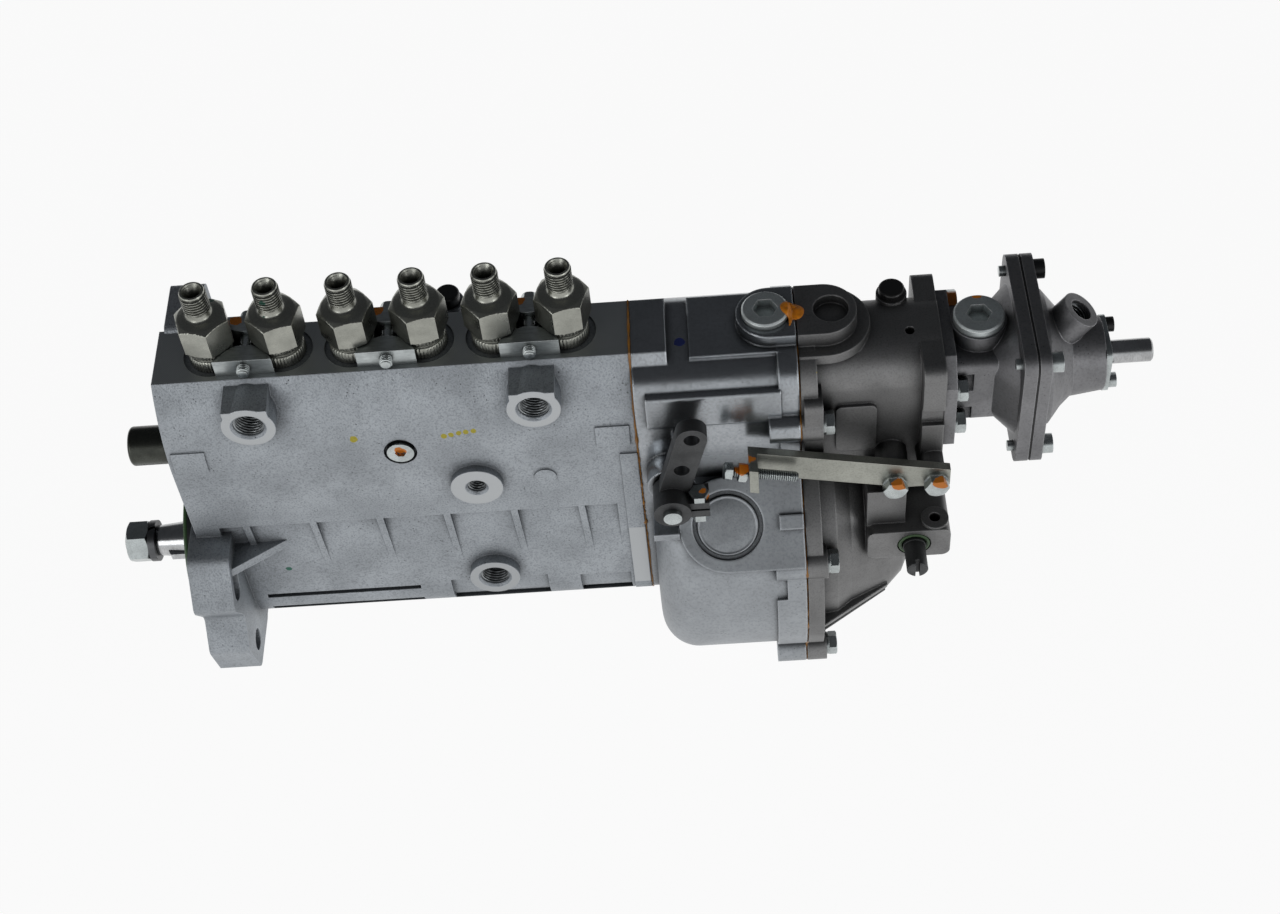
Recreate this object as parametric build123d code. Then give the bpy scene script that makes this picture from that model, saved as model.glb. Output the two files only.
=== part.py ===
from build123d import *
import os
from math import atan2, cos, degrees, pi, radians, sin, sqrt, tan

# Six-cylinder in-line diesel injection pump with mechanical governor and boost compensator.
# Frame: X runs along the camshaft from the drive end to the governor, Z points up along the
# plungers and -Y faces the side with the fuel ports.  The origin is on the camshaft axis, in the
# mounting face of the drive-end flange.  All sizes are millimetres.

# Clearances
fit_gap = 0.1          # radial gap of pieces that are fitted and stay still
run_gap = 0.05         # radial gap of a shaft or pin that turns or slides
safe_gap = 0.3         # gap between moving pieces that never touch

# Cylinder row
cylinders = 6
pitch = 32.0
first_x = 30.0
cylinder_xs = [first_x + pitch * i for i in range(cylinders)]
last_x = cylinder_xs[-1]

# Pump housing, seen along the camshaft
end_margin_left = 26.5
end_margin_right = 27.5
body_x0 = first_x - end_margin_left
body_x1 = last_x + end_margin_right
top_z = 136.0
top_half = 16.0
shoulder_z = top_z - 50.0
shoulder_half = 31.0
crease_z = 48.0
crease_half = 31.6
recess_depth = 3.2
recess_z = 11.0
case_half = 32.0
base_z = -37.0
base_radius = 25.0
end_land = 12.0
rib_width = 3.2
rib_lean = 1.8
pad_rise = 0.8
groove_depth = 2.2
deck_recess_r = 13.4
deck_recess = 0.9

# Drive-end flange
flange_t = 20.0
flange_r = 44.5
flange_disc_t = 12.0
ear_y = 46.5
ear_z = 25.0
ear_r = 13.0
ear_corners = ((20, 42), (46, 42), (61, 20), (51, 3), (61.5, -13), (55.5, -37.5),
               (20, -39))
ear_round = 5.5
bolt_hole_r = 5.5
slot_swing = 9.5
rear_lug = (6.0, 22.0, 14.0, 45.0)
rear_lug_h = 20.0
rear_lug_rise = 2.0

# Camshaft and its bearings
base_circle = 14.0
lift = 8.0
lobe_width = 13.0
core_r = 11.5
tunnel_r = 25.0
journal_r = 12.5
bearing_r = 26.0
bearing_w = 15.0
bearing_inset = 5.0
seal_r = 16.0
taper_x0 = -29.0
taper_x1 = -1.0
taper_r = 7.6
taper_rate = 0.1
thread_r = 6.0
thread_end = -45.0
nose_r = 8.0
nose_end = 276.0
firing_order = (1, 5, 3, 6, 2, 4)

# End cover with the centring register
register_r = 42.0
register_t = 6.0
cover_rim = 1.0
cover_inset = 1.5
ring_cord = 1.1

rear_cap_y = 30.0
rear_cap_z = top_z - 7.0
side_cap_y = 17.0

# Pumping elements, stacked from the rack up to the deck
rack_z = top_z - 43.0
tappet_r = 13.5
roller_r = 8.0
roller_w = 13.0
roller_z = base_circle + lift + roller_r + safe_gap
tappet_top = 52.0
tappet_pin_r = 3.0
adjuster_r = 5.0
adjuster_h = 3.6
plate_t = 2.4
spring_top = rack_z - 9.0
spring_r = 12.6
spring_wire = 2.4
sleeve_z0 = spring_top - 22.0
sleeve_z1 = rack_z + 5.2
sleeve_in = 7.1
sleeve_out = 9.2
barrel_low_r = 7.0
barrel_high_r = 9.5
barrel_seat = top_z - 34.0
barrel_top = top_z - 18.0
plunger_r = 4.5
plunger_top = barrel_top - 4.0
vane_half = 8.6
vane_t = 3.2
vane_h = 4.0
vane_z = sleeve_z0 + 6.0
foot_r = 5.6
foot_h = 2.0
foot_z = tappet_top + adjuster_h + run_gap
barrel_z0 = vane_z + vane_h + 2.0
valve_top = top_z - 10.5
valve_head_r = 4.2
valve_head_top = top_z - 5.0

# Control rack
rack_y = -15.0
rack_r = 5.5
module = 1.0
sleeve_teeth = 22
sector_teeth = 15
gear_half_h = 4.0
pitch_r = module * sleeve_teeth / 2
rack_x0 = -2.0
rack_x1 = 230.0
rack_cap_r = 9.2
rack_cap_len = 20.0
rack_screw_x = first_x + 2.5 * pitch
rack_screw_z = rack_z + 2.0
rack_screw_face = -27.5

# Delivery valve holders and their clamps
holder_thread_r = 9.5
holder_ring_r = 10.2
holder_ring_h = 7.2
holder_hex_af = 22.0
holder_hex_z0 = 9.6
holder_hex_z1 = 26.0
holder_top = 42.0
outlet_r = 6.0
outlet_len = 11.0
outlet_bore = 1.6
cone_r = 4.4
spring_bore_r = 5.0
jaw_face = 13.5
jaw_arc_r = 14.2
jaw_apex = 4.2
jaw_height = 9.4
jaw_bolt_z = top_z + 4.4
clamp_bolt_r = 3.0
clamp_bolt_out = 4.0

# Ports in the front of the housing
port_r = 7.0
port_depth = 14.0
port_ring_r = 12.2
fuel_port_z = top_z - 14.0
fuel_port_y = -33.0
mid_boss_x = first_x + 3.5 * pitch
mid_boss_z = 71.0
mid_boss_y = -35.0
mid_port_r = 4.3
oil_port_z = 2.0
oil_port_y = -37.0

# Governor housing
gasket_t = 0.8
gov_len = 73.7
gov_x0 = body_x1 + gasket_t
gov_x1 = gov_x0 + gov_len
gov_top = top_z - 4.0
gov_half = 30.0
gov_corner = 18.0
drum_r = 69.0
drum_round = 18.0
wall = 6.0
band_w = 9.0
band_out = 1.6
panel_out = 2.2
pad_x = gov_x0 + 38.5
pad_r = 22.5
pad_reach = drum_r + 2.0
pad_tilt = 45.0
pad_rib_x = 24.0
plug_recess_r = 16.5
core_plug_r = 14.3
deck_boss_z = top_z + 3.5
deck_boss_r = 15.0
deck_boss_x0 = gov_x1 - 11.0
deck_boss_x1 = gov_x1 + 13.0
deck_plug_x = gov_x1 - 12.8
deck_hole_x = gov_x1 + 16.5
socket_plug_r = 10.6

# Governor cover
cover_x0 = gov_x1 + gasket_t
cover_len = 64.5
cover_x1 = cover_x0 + cover_len
cover_top = top_z - 8.0
boost_z = gov_top - 34.5
dome_end = cover_x0 + 53.2
cover_half = 24.0
seam_t = 7.5
seam_pad = 2.0
low_bolts = [(drum_r + out, radians(turn)) for out, turn in ((-3.9, 26.0), (3.9, -45.5))]
seam_bolts = [(gov_half + 0.5, boost_z - 0.5)] + [(reach * cos(a), reach * sin(a)) for reach, a in low_bolts]
cover_bolts_yz = [(s * y, z) for s in (-1, 1) for y, z in seam_bolts]
cover_bolt_boss_r = 8.0
shaft_block = (322.0, 361.0, -50.0, -14.0, 16.5, 36.0)
stop_x = 344.0
stop_z = 26.0
stop_r = 5.0
stop_body_r = 5.4
stop_shoulder = 1.25
stop_out = 15.5

# Governor inside
carrier_x0 = 226.0
carrier_t = 6.0
carrier_r = 30.0
pivot_x = 240.0
pivot_z = 32.0
pivot_r = 2.5
weight_half = 15.0
gov_sleeve_x0 = 245.2
gov_sleeve_len = 20.0
toe_arm = 18.0

# Speed lever
lever_x = gov_x0 + 13.8
lever_z = 72.0
lever_shaft_r = 4.2
lever_front = -50.0
lever_t = 7.0
lever_hub_front = -58.5
lever_hub_r = 8.6
lever_hole_r = 3.6
lever_holes = (21.8, 43.4)
lever_end_r = 6.9
lever_lean = 14.7
lever_clamp_y = -52.0

# Stop bracket
strip_front = -43.5
strip_t = 4.0
strip_h = 15.5
strip_len = 92.0
strip_tilt = 13.2
tab_out = 10.5
stop_head_gap = 11.6
stop_screw_out = 5.2
bracket_bolt_xs = (cover_x1 - 23.0, cover_x1 - 4.0)
bracket_bolt_z = 66.0
strip_rise = 5.2
m6_r = 3.0
m6_af = 10.0
m6_head = 4.0
m5_r = 2.5
m4_r = 2.0

# Boost compensator
adapter_t = 5.4
adapter_half = 30.0
adapter_z0 = boost_z - 25.5
adapter_z1 = boost_z + 27.5
neck_half = 20.0
neck_x1 = cover_x1 + 33.0
flange_half = 36.0
flange_corner = 8.0
flange_a_t = 6.0
diaphragm_t = 1.0
flange_b_t = 5.2
spigot_r = 19.0
spigot_end = cover_x1 + 74.5
end_plate_t = 2.6
end_plate_half = 13.8
end_screw_half = 9.0
flange_screw_half = 28.4
pin_r = 5.5
pin_end = cover_x1 + 98.0
pin_in = 5.0
chamber_r = 27.0
boost_plug_x = cover_x1 + 17.5
boost_plug_r = 11.5
boost_plug_top = boost_z + 32.5
air_port_x = cover_x1 + 62.0
air_port_z = boost_z + 28.5
air_port_tilt = 35.0
air_port_r = 9.3
air_bore_r = 5.4


def cyl_x(r, x0, x1, y=0.0, z=0.0):
    """Round bar along X from x0 to x1."""
    return Pos((x0 + x1) / 2, y, z) * Rot(0, 90, 0) * Cylinder(r, x1 - x0)


def cyl_y(r, y0, y1, x, z):
    """Round bar along Y from y0 to y1."""
    return Pos(x, (y0 + y1) / 2, z) * Rot(90, 0, 0) * Cylinder(r, y1 - y0)


def cyl_z(r, z0, z1, x=0.0, y=0.0):
    """Round bar along Z from z0 to z1."""
    return Pos(x, y, (z0 + z1) / 2) * Cylinder(r, z1 - z0)


def block(x0, x1, y0, y1, z0, z1):
    """Box between two corners."""
    return Pos((x0 + x1) / 2, (y0 + y1) / 2, (z0 + z1) / 2) * Box(x1 - x0, y1 - y0, z1 - z0)


def along_x(face, x0, x1):
    """Extrude a sketch drawn in (Y, Z) from x0 to x1."""
    return extrude(Plane.YZ.offset(x0) * face, amount=x1 - x0)


def along_z(face, z0, z1):
    """Extrude a sketch drawn in (X, Y) from z0 to z1."""
    return extrude(Plane.XY.offset(z0) * face, amount=z1 - z0)


def along_y(face, y0, y1):
    """Extrude a sketch drawn in (X, Z) from the back plane y1 to the front plane y0."""
    return extrude(Plane.XZ.offset(-y1) * face, amount=y1 - y0)


def turned_x(points):
    """Turn a closed (x, r) outline around the camshaft axis."""
    return revolve(Plane.XZ * make_face(Polyline(*points, close=True)), axis=Axis.X)


def turned_z(points, x=0.0, y=0.0):
    """Turn a closed (r, z) outline around an upright axis."""
    return Pos(x, y, 0) * revolve(Plane.XZ * make_face(Polyline(*points, close=True)), axis=Axis.Z)


def hexagon(af):
    """Hexagon by its width across flats."""
    return RegularPolygon(af / 2, 6, major_radius=False)


def rounded(width, height, radius):
    """Rounded rectangle centred on its sketch plane."""
    return RectangleRounded(width, height, radius)


def ring_x(r_out, r_in, x0, x1, y=0.0, z=0.0):
    """Plain ring along X."""
    return cyl_x(r_out, x0, x1, y, z) - cyl_x(r_in, x0 - 1, x1 + 1, y, z)


def ring_z(r_out, r_in, z0, z1, x=0.0, y=0.0):
    """Plain ring along Z."""
    return cyl_z(r_out, z0, z1, x, y) - cyl_z(r_in, z0 - 1, z1 + 1, x, y)


def group(shapes):
    """Several separate solids kept in one node."""
    return Compound(children=[s for shape in shapes for s in shape.solids()])


def hex_head(af, height):
    """Hexagon head that stands on the XY plane, its outer corners turned off."""
    corner = af / sqrt(3)
    bevel = (corner - af / 2) * 0.6
    outline = [(0, 0), (corner, 0), (corner, height - bevel), (af / 2, height), (0, height)]
    return extrude(hexagon(af), amount=height) & turned_z(outline)


def hex_bolt_x(x, y, z, shank, r=m6_r, af=m6_af, head=m6_head):
    """Hex bolt along X whose head stands on the plane x and whose shank runs to -X."""
    washer = cyl_x(af / 2 * 1.12, x, x + 1.4, y, z)
    top = Pos(x + 1.4, y, z) * Rot(0, 90, 0) * hex_head(af, head)
    return washer + top + cyl_x(r, x - shank, x + 0.5, y, z)


def hex_bolt_y(x, y, z, shank, r=m6_r, af=m6_af, head=m6_head):
    """Hex bolt along Y whose head stands on the plane y, towards -Y."""
    washer = cyl_y(af / 2 * 1.12, y - 1.4, y, x, z)
    top = Pos(x, y - 1.4, z) * Rot(90, 0, 0) * hex_head(af, head)
    return washer + top + cyl_y(r, y - 0.5, y + shank, x, z)


def cap_screw_x(x, y, z, shank, r=m5_r, head_r=4.6, head=5.6):
    """Socket cap screw along X with a hexagon socket."""
    screw = cyl_x(head_r, x, x + head, y, z) + cyl_x(r, x - shank, x + 0.5, y, z)
    return screw - along_x(Pos(y, z) * hexagon(4.4), x + head - 3, x + head + 1)


def half_outline(side):
    """Right half of a cross-section of the pump housing, closed along the camshaft plane."""
    low_x = case_half - base_radius
    low_z = base_z + base_radius
    turn = (low_x + base_radius * cos(pi / 4), low_z - base_radius * sin(pi / 4))
    cheek = ThreePointArc((top_half, top_z), (top_half + 9.6, top_z - 19.5), (shoulder_half, shoulder_z))
    edges = [Line((0, top_z), (top_half, top_z)), cheek]
    edges += [Line((shoulder_half, shoulder_z), (crease_half, crease_z))] + side
    edges += [Line((case_half, recess_z), (case_half, low_z)),
              ThreePointArc((case_half, low_z), turn, (low_x, base_z)),
              Line((low_x, base_z), (0, base_z)), Line((0, base_z), (0, top_z))]
    return make_face(Curve() + edges)


def body_outline():
    """Cross-section of the pump housing with the recess below the crease."""
    inner = crease_half - recess_depth
    step_z = crease_z - 3
    middle = (case_half - 1.0, (crease_z + recess_z) / 2 - 2)
    side = [Line((crease_half, crease_z), (inner, step_z)),
            ThreePointArc((inner, step_z), middle, (case_half, recess_z))]
    half = half_outline(side)
    return half + mirror(half, about=Plane.YZ)


def full_outline():
    """The same section without the recess, as at the two end walls and the ribs."""
    half = half_outline([Line((crease_half, crease_z), (case_half, recess_z))])
    return half + mirror(half, about=Plane.YZ)


def flange_ears():
    """Drive-end flange: a round plate with two notched lobes on each side of the camshaft."""
    lobes = fillet(make_face(Polyline(*ear_corners, close=True)).vertices(), ear_round)
    lobes += mirror(lobes, about=Plane.YZ)
    web = along_x(rounded(2 * case_half + 8, 2 * (ear_z + ear_r), 12), 0, flange_t)
    ears = along_x(lobes, 0, flange_t) + web + cyl_x(flange_r, 0, flange_disc_t)
    for s in (-1, 1):
        ears -= cyl_x(bolt_hole_r, -1, flange_t + 1, s * ear_y, -ear_z)
        ears -= arc_slot(s)
        gusset = Polyline((flange_t - 1, s * 30), (flange_t - 1, s * ear_y), (flange_t + 25, s * 30.5),
                          close=True)
        ears += along_z(make_face(gusset), ear_z + 4, ear_z + 9)
    return ears


def arc_slot(side):
    """Curved timing slot on the bolt circle, above the camshaft axis."""
    radius = sqrt(ear_y ** 2 + ear_z ** 2)
    middle = degrees(atan2(ear_z, side * ear_y))
    arc = CenterArc((0, 0), radius, middle - slot_swing / 2, slot_swing)
    return along_x(SlotArc(arc, 2 * bolt_hole_r), -1, flange_t + 1)


def fuel_port_boss(x):
    """Raised fuel port whose flat top runs back to the deck of the housing."""
    outline = Polyline((-top_half + 4, top_z - 2), (fuel_port_y, top_z - 3.4), (fuel_port_y, fuel_port_z),
                       (-top_half + 4, fuel_port_z - 4), close=True)
    shelf = along_x(make_face(outline), x - port_ring_r + 2, x + port_ring_r - 2)
    return shelf + cyl_y(port_ring_r, fuel_port_y, -top_half + 2, x, fuel_port_z)


def port_hole(x, y, z, r, depth):
    """Blind threaded port with a chamfered mouth."""
    mouth = Pos(x, y + 0.55, z) * Rot(90, 0, 0) * Cone(r, r + 1.3, 1.3)
    return cyl_y(r, y - 1, y + depth, x, z) + mouth


def side_ribs():
    """Thin leaning ribs across the recessed band below the crease, front and back."""
    solid = along_x(full_outline(), body_x0, body_x1)
    ribs = []
    for i in range(cylinders):
        x = first_x + pitch * i - 1.5
        half = rib_width / 2
        outline = Polyline((x - half, crease_z), (x + half, crease_z), (x + half + rib_lean, recess_z),
                           (x - half + rib_lean, recess_z), close=True)
        ribs.append(along_y(make_face(outline), -case_half - 2, case_half + 2) & solid)
    return ribs


def raised_pads():
    """Low cast pads on the front wall, a round one and the rim along the governor end."""
    over = offset(full_outline(), amount=pad_rise)
    z0 = rack_z - 2
    z1 = rack_z + 10
    pads = []
    for x0, x1 in ((body_x0 + 2, body_x0 + 17.5), (body_x1 - 18, body_x1 - 2.5)):
        pads.append(along_x(over, x0, x1) & block(x0, x1, -60, 0, z0, z1))
    round_x = mid_boss_x + pitch
    pads.append(along_x(over, round_x - 8, round_x + 8) & cyl_y(5.2, -60, -10, round_x, mid_boss_z + 1))
    rim = block(body_x1 - 8, body_x1, -60, 60, base_z + 14, rack_z - 8)
    pads.append(along_x(over, body_x1 - 8, body_x1) & rim)
    return pads


def low_hollows():
    """Long grooves and two pockets low on both sides of the cam case."""
    skin = full_outline() - offset(full_outline(), amount=-groove_depth)
    groove_end = first_x + 2.3 * pitch
    windows = [(first_x - 3, groove_end, -10.6, -7.6), (first_x - 3, groove_end, -25.0, -20.0),
               (mid_boss_x - 23, mid_boss_x + 25, -27.0, -5.0), (last_x - 7, body_x1 - 9.5, -28.0, -7.0)]
    hollows = []
    for x0, x1, z0, z1 in windows:
        hollows.append(along_x(skin, x0, x1) & block(x0, x1, -60, 60, z0, z1))
    return hollows


def pump_housing():
    """Cast housing: cam tunnel, stepped plunger bores, rack tunnel, ports and flange."""
    body = along_x(body_outline(), body_x0, body_x1)
    outline = full_outline()
    body += along_x(outline, body_x0, body_x0 + end_land)
    body += along_x(outline, body_x1 - end_land, body_x1)
    for piece in side_ribs() + raised_pads():
        body += piece
    for hollow in low_hollows():
        body -= hollow
    body += flange_ears()
    lug_x0, lug_x1, lug_y0, lug_y1 = rear_lug
    lug = block(lug_x0, lug_x1, lug_y0, lug_y1, top_z + rear_lug_rise - rear_lug_h, top_z + rear_lug_rise)
    body += fillet(lug.edges().filter_by(Axis.X), 4)
    body += cyl_z(7.0, rear_cap_z - 33, rear_cap_z, mid_boss_x - 7, rear_cap_y)
    for x in (first_x + pitch / 2, last_x - pitch / 2):
        body += fuel_port_boss(x)
    body += cyl_y(port_ring_r, mid_boss_y, -20, mid_boss_x, mid_boss_z)
    body += cyl_y(port_ring_r, oil_port_y, -20, mid_boss_x, oil_port_z)
    for x in (first_x + pitch / 2, last_x - pitch / 2):
        body -= port_hole(x, fuel_port_y, fuel_port_z, port_r, port_depth)
    body -= port_hole(mid_boss_x, mid_boss_y, mid_boss_z, mid_port_r, port_depth)
    body -= port_hole(mid_boss_x, oil_port_y, oil_port_z, port_r, 9.0)
    body -= cyl_x(tunnel_r, bearing_inset + bearing_w - 1, body_x1 - bearing_inset - bearing_w + 1)
    body -= cyl_x(bearing_r + fit_gap, -1, bearing_inset + bearing_w)
    body -= cyl_x(register_r + cover_rim + fit_gap, -1, cover_inset)
    body -= cyl_x(bearing_r + fit_gap, body_x1 - bearing_inset - bearing_w, body_x1 + 1)
    body -= cyl_x(rack_r + run_gap, -1, body_x1 + 1, rack_y, rack_z)
    for x in cylinder_xs:
        body -= plunger_bore(x)
    body -= cyl_y(7.6, -40, rack_screw_face, rack_screw_x, rack_screw_z)
    return body - cyl_y(m6_r + fit_gap, -40, rack_y - 3, rack_screw_x, rack_screw_z)


def plunger_bore(x):
    """Stepped bore of one cylinder, from the cam tunnel up to the deck."""
    bore = cyl_z(tappet_r + run_gap, 0, spring_top + plate_t + 0.2, x)
    bore += cyl_z(pitch_r + module + safe_gap, spring_top, sleeve_z1 + 0.3, x)
    bore += cyl_z(barrel_low_r + 0.3, sleeve_z1, barrel_seat + 1, x)
    bore += cyl_z(barrel_high_r + fit_gap, barrel_seat, top_z + 1, x)
    return bore + cyl_z(deck_recess_r, top_z - deck_recess, top_z + 1, x)


def end_cover():
    """Bearing cover whose rim is the centring register of the pump."""
    cover = cyl_x(register_r, -register_t, 0) + cyl_x(register_r + cover_rim, 0, cover_inset)
    cover += cyl_x(bearing_r, 0, bearing_inset)
    cover -= cyl_x(seal_r + fit_gap, -register_t - 1, 1.0)
    cover -= cyl_x(seal_r - 3, -1, bearing_inset + 1)
    cover -= ring_x(register_r + 1, register_r - 2.4, -register_t - 1, -register_t + 2.2)
    return cover


def cord_ring(radius, cord):
    """Seal ring of eight-sided cord around the X axis."""
    return revolve(Plane.XZ * Pos(0, radius) * RegularPolygon(cord, 8), axis=Axis.X)


def rubber_seals():
    """Register ring, camshaft lip seal and the ring on the stop shaft."""
    register = Pos(-register_t + ring_cord, 0, 0) * cord_ring(register_r - ring_cord, ring_cord)
    lip_in = taper_r + taper_rate * (taper_x1 - taper_x0) + safe_gap
    lip = ring_x(seal_r, lip_in, -register_t + 0.6, 0.8)
    stop = Pos(stop_x, shaft_block[2] + 0.8, stop_z) * Rot(0, 0, 90) * cord_ring(stop_body_r + 1.2, ring_cord)
    return group([register, lip, stop])


def lobe(x, angle):
    """One cam lobe: base circle and a rounded nose joined by tangent flanks."""
    nose_r2 = 7.0
    nose_c = base_circle + lift - nose_r2
    flank = degrees(atan2(base_circle - nose_r2, nose_c))
    a = radians(90 - flank)
    tangents = [(-base_circle * sin(a), base_circle * cos(a)), (base_circle * sin(a), base_circle * cos(a)),
                (nose_r2 * sin(a), nose_c + nose_r2 * cos(a)), (-nose_r2 * sin(a), nose_c + nose_r2 * cos(a))]
    flanks = make_face(Polyline(*tangents, close=True))
    outline = Circle(base_circle) + Pos(0, nose_c) * Circle(nose_r2) + flanks
    return along_x(Rot(0, 0, angle) * outline, x - lobe_width / 2, x + lobe_width / 2)


def camshaft():
    """Camshaft with taper, keyway, two bearing journals, six lobes and the governor nose."""
    seat_r = taper_r + taper_rate * (taper_x1 - taper_x0)
    b0 = bearing_inset
    b1 = bearing_inset + bearing_w
    b2 = body_x1 - bearing_inset - bearing_w
    b3 = body_x1 - bearing_inset
    outline = [(thread_end, 0), (thread_end, thread_r - 1), (thread_end + 1, thread_r), (taper_x0, thread_r),
               (taper_x0, taper_r), (taper_x1, seat_r), (b0, seat_r), (b0, journal_r), (b1, journal_r),
               (b1, 15.0), (b1 + 2, 15.0), (b1 + 2, core_r), (b2 - 2, core_r), (b2 - 2, 15.0), (b2, 15.0),
               (b2, journal_r), (b3, journal_r), (b3, nose_r), (nose_end, nose_r), (nose_end, 0)]
    shaft = turned_x(outline)
    for i, x in enumerate(cylinder_xs):
        step = firing_order.index(i + 1) * 360 / cylinders
        shaft += lobe(x, step + 30)
    return shaft - drive_key_blank(0.05)


def drive_key_blank(gap=0.0):
    """Half-moon key in the drive taper, facing the front."""
    x = (taper_x0 + taper_x1) / 2
    disc = cyl_z(8.0 + gap, -2.0 - gap, 2.0 + gap, x, -6.2)
    return disc & block(x - 9, x + 9, -11.0, -2, -3, 3)


def drive_nut():
    """Hexagon nut on the drive thread."""
    nut = along_x(hexagon(19.0), -43.5, -32.6)
    cone = turned_x([(-43.5, 0), (-43.5, 9.4), (-42.2, 11.2), (-33.9, 11.2), (-32.6, 9.4), (-32.6, 0)])
    return (nut & cone) - cyl_x(thread_r + run_gap, -44, -32)


def lock_washer():
    """Split spring washer under the drive nut."""
    washer = ring_x(10.4, thread_r + 0.3, -32.5, taper_x0 - 0.1)
    return washer - Pos(-31, 0, 9) * Rot(0, 0, 25) * Box(9, 1.6, 8)


def bearing_cups():
    """Outer rings of the two camshaft bearings."""
    cups = []
    for x, s in ((bearing_inset, 1), (body_x1 - bearing_inset, -1)):
        wide = x + s * bearing_w
        cups.append(turned_x([(x, bearing_r), (wide, bearing_r), (wide, 21.0), (x, 23.0)]))
    return group(cups)


def bearing_cones():
    """Inner rings with their roller sets, which turn with the camshaft."""
    rings = []
    bore = journal_r + 0.02
    for x, s in ((bearing_inset, 1), (body_x1 - bearing_inset, -1)):
        near = x + s * 0.3
        far = x + s * (bearing_w - 0.2)
        rings.append(turned_x([(near, bore), (far, bore), (far, 20.6), (near, 22.6)]))
    return group(rings)


def roller_tappets():
    """Tappet bodies with fork, roller, pin and adjusting screw, held clear of the lobes."""
    shapes = []
    for x in cylinder_xs:
        shell = cyl_z(tappet_r, bearing_r + fit_gap + safe_gap, tappet_top, x)
        half = roller_w / 2 + safe_gap
        shell -= block(x - half, x + half, -20, 20, 0, roller_z + roller_r + 1)
        shell -= cyl_x(tappet_pin_r + fit_gap, x - 20, x + 20, 0, roller_z)
        shell += cyl_z(adjuster_r, tappet_top - 1, tappet_top + adjuster_h, x)
        roller = ring_x(roller_r, tappet_pin_r + run_gap, x - roller_w / 2, x + roller_w / 2, 0, roller_z)
        pin = cyl_x(tappet_pin_r, x - 12, x + 12, 0, roller_z)
        shapes += [shell, roller, pin]
    return group(shapes)


def spring_plates():
    """Lower and upper plates of the plunger springs."""
    shapes = []
    foot_top = foot_z + foot_h + run_gap
    for x in cylinder_xs:
        lower = cyl_z(tappet_r - 0.4, foot_z, foot_top + plate_t, x)
        lower -= cyl_z(foot_r + safe_gap, foot_z - 1, foot_top, x)
        lower -= cyl_z(plunger_r + safe_gap, foot_z, foot_top + plate_t + 1, x)
        upper = ring_z(tappet_r - 0.1, sleeve_out + safe_gap, spring_top, spring_top + plate_t, x)
        shapes += [lower, upper]
    return group(shapes)


def plunger_springs():
    """Plunger return springs, as coils of the real wire between their plates."""
    low = foot_z + foot_h + run_gap + plate_t
    height = spring_top - low - spring_wire
    turns = 4.5
    path = Helix(height / turns, height, spring_r - spring_wire / 2)
    start = path @ 0
    profile = Plane(origin=start, z_dir=path % 0) * Rectangle(spring_wire * 0.9, spring_wire * 0.9)
    coil = sweep(profile, path=path, is_frenet=True)
    return group([Pos(x, 0, low + spring_wire / 2) * coil for x in cylinder_xs])


def plunger(x):
    """Plunger with its helix cut, driving vane and foot."""
    rod = cyl_z(plunger_r, foot_z, plunger_top, x)
    rod += cyl_z(foot_r, foot_z, foot_z + foot_h, x)
    rod += block(x - vane_half, x + vane_half, -vane_t / 2, vane_t / 2, vane_z, vane_z + vane_h)
    cut = Pos(x, 6.0, plunger_top - 10) * Rot(0, 35, 0) * Box(9, 8, 6)
    groove = ring_z(plunger_r + 1, plunger_r - 1, plunger_top - 20, plunger_top - 17, x)
    return rod - cut - groove


def gear_tooth(r):
    """One trapezoid tooth of the control sleeve, pointing along +X of its sketch."""
    half_root = module * 1.02
    half_tip = module * 0.36
    return Polyline((r - 1.7 * module, -half_root), (r + module, -half_tip), (r + module, half_tip),
                    (r - 1.7 * module, half_root), close=True)


def control_sleeve(x):
    """Control sleeve with its toothed sector in mesh with the rack."""
    tube = ring_z(sleeve_out, sleeve_in, sleeve_z0, sleeve_z1, x)
    slot = vane_t / 2 + run_gap
    tube -= block(x - 20, x + 20, -slot, slot, sleeve_z0 - 1, vane_z + vane_h + 1)
    z0 = rack_z - gear_half_h
    z1 = rack_z + gear_half_h
    root = pitch_r - 1.2 * module
    tube += ring_z(root, sleeve_in, z0, z1, x)
    tooth = make_face(gear_tooth(pitch_r))
    step = 360 / sleeve_teeth
    first = -90 - (sector_teeth - 1) / 2 * step
    teeth = Sketch() + [Rot(0, 0, first + i * step) * tooth for i in range(sector_teeth)]
    return tube + Pos(x, 0, 0) * along_z(teeth, z0, z1)


def control_rack():
    """Control rack: a round rod with a row of teeth cut for each control sleeve."""
    rod = cyl_x(rack_r, rack_x0, rack_x1, rack_y, rack_z)
    tip_y = -pitch_r + module
    root_y = -pitch_r - 1.15 * module
    rod -= block(rack_x0 + 14, rack_x1 - 14, tip_y, rack_y + rack_r + 1, rack_z - 8, rack_z + 8)
    tooth_pitch = pi * module
    half_tip = 0.36 * module
    half_root = 1.1 * module
    for x in cylinder_xs:
        gaps = Sketch()
        for k in range(-6, 7):
            gx = x + k * tooth_pitch
            gaps += make_face(Polyline((gx - tooth_pitch / 2 + half_tip, tip_y + 0.5),
                                       (gx - tooth_pitch / 2 + half_root, root_y),
                                       (gx + tooth_pitch / 2 - half_root, root_y),
                                       (gx + tooth_pitch / 2 - half_tip, tip_y + 0.5), close=True))
        rod -= along_z(gaps, rack_z - 8, rack_z + 8)
    return rod


def rack_cap():
    """Protective cap over the drive end of the control rack."""
    cap = cyl_x(rack_cap_r, body_x0 - rack_cap_len, body_x0, rack_y, rack_z)
    cap = fillet(cap.edges().filter_by(GeomType.CIRCLE).sort_by(Axis.X)[0], 1.6)
    return cap - cyl_x(rack_r + 1.0, body_x0 - rack_cap_len + 2.5, body_x0 + 1, rack_y, rack_z)


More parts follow.
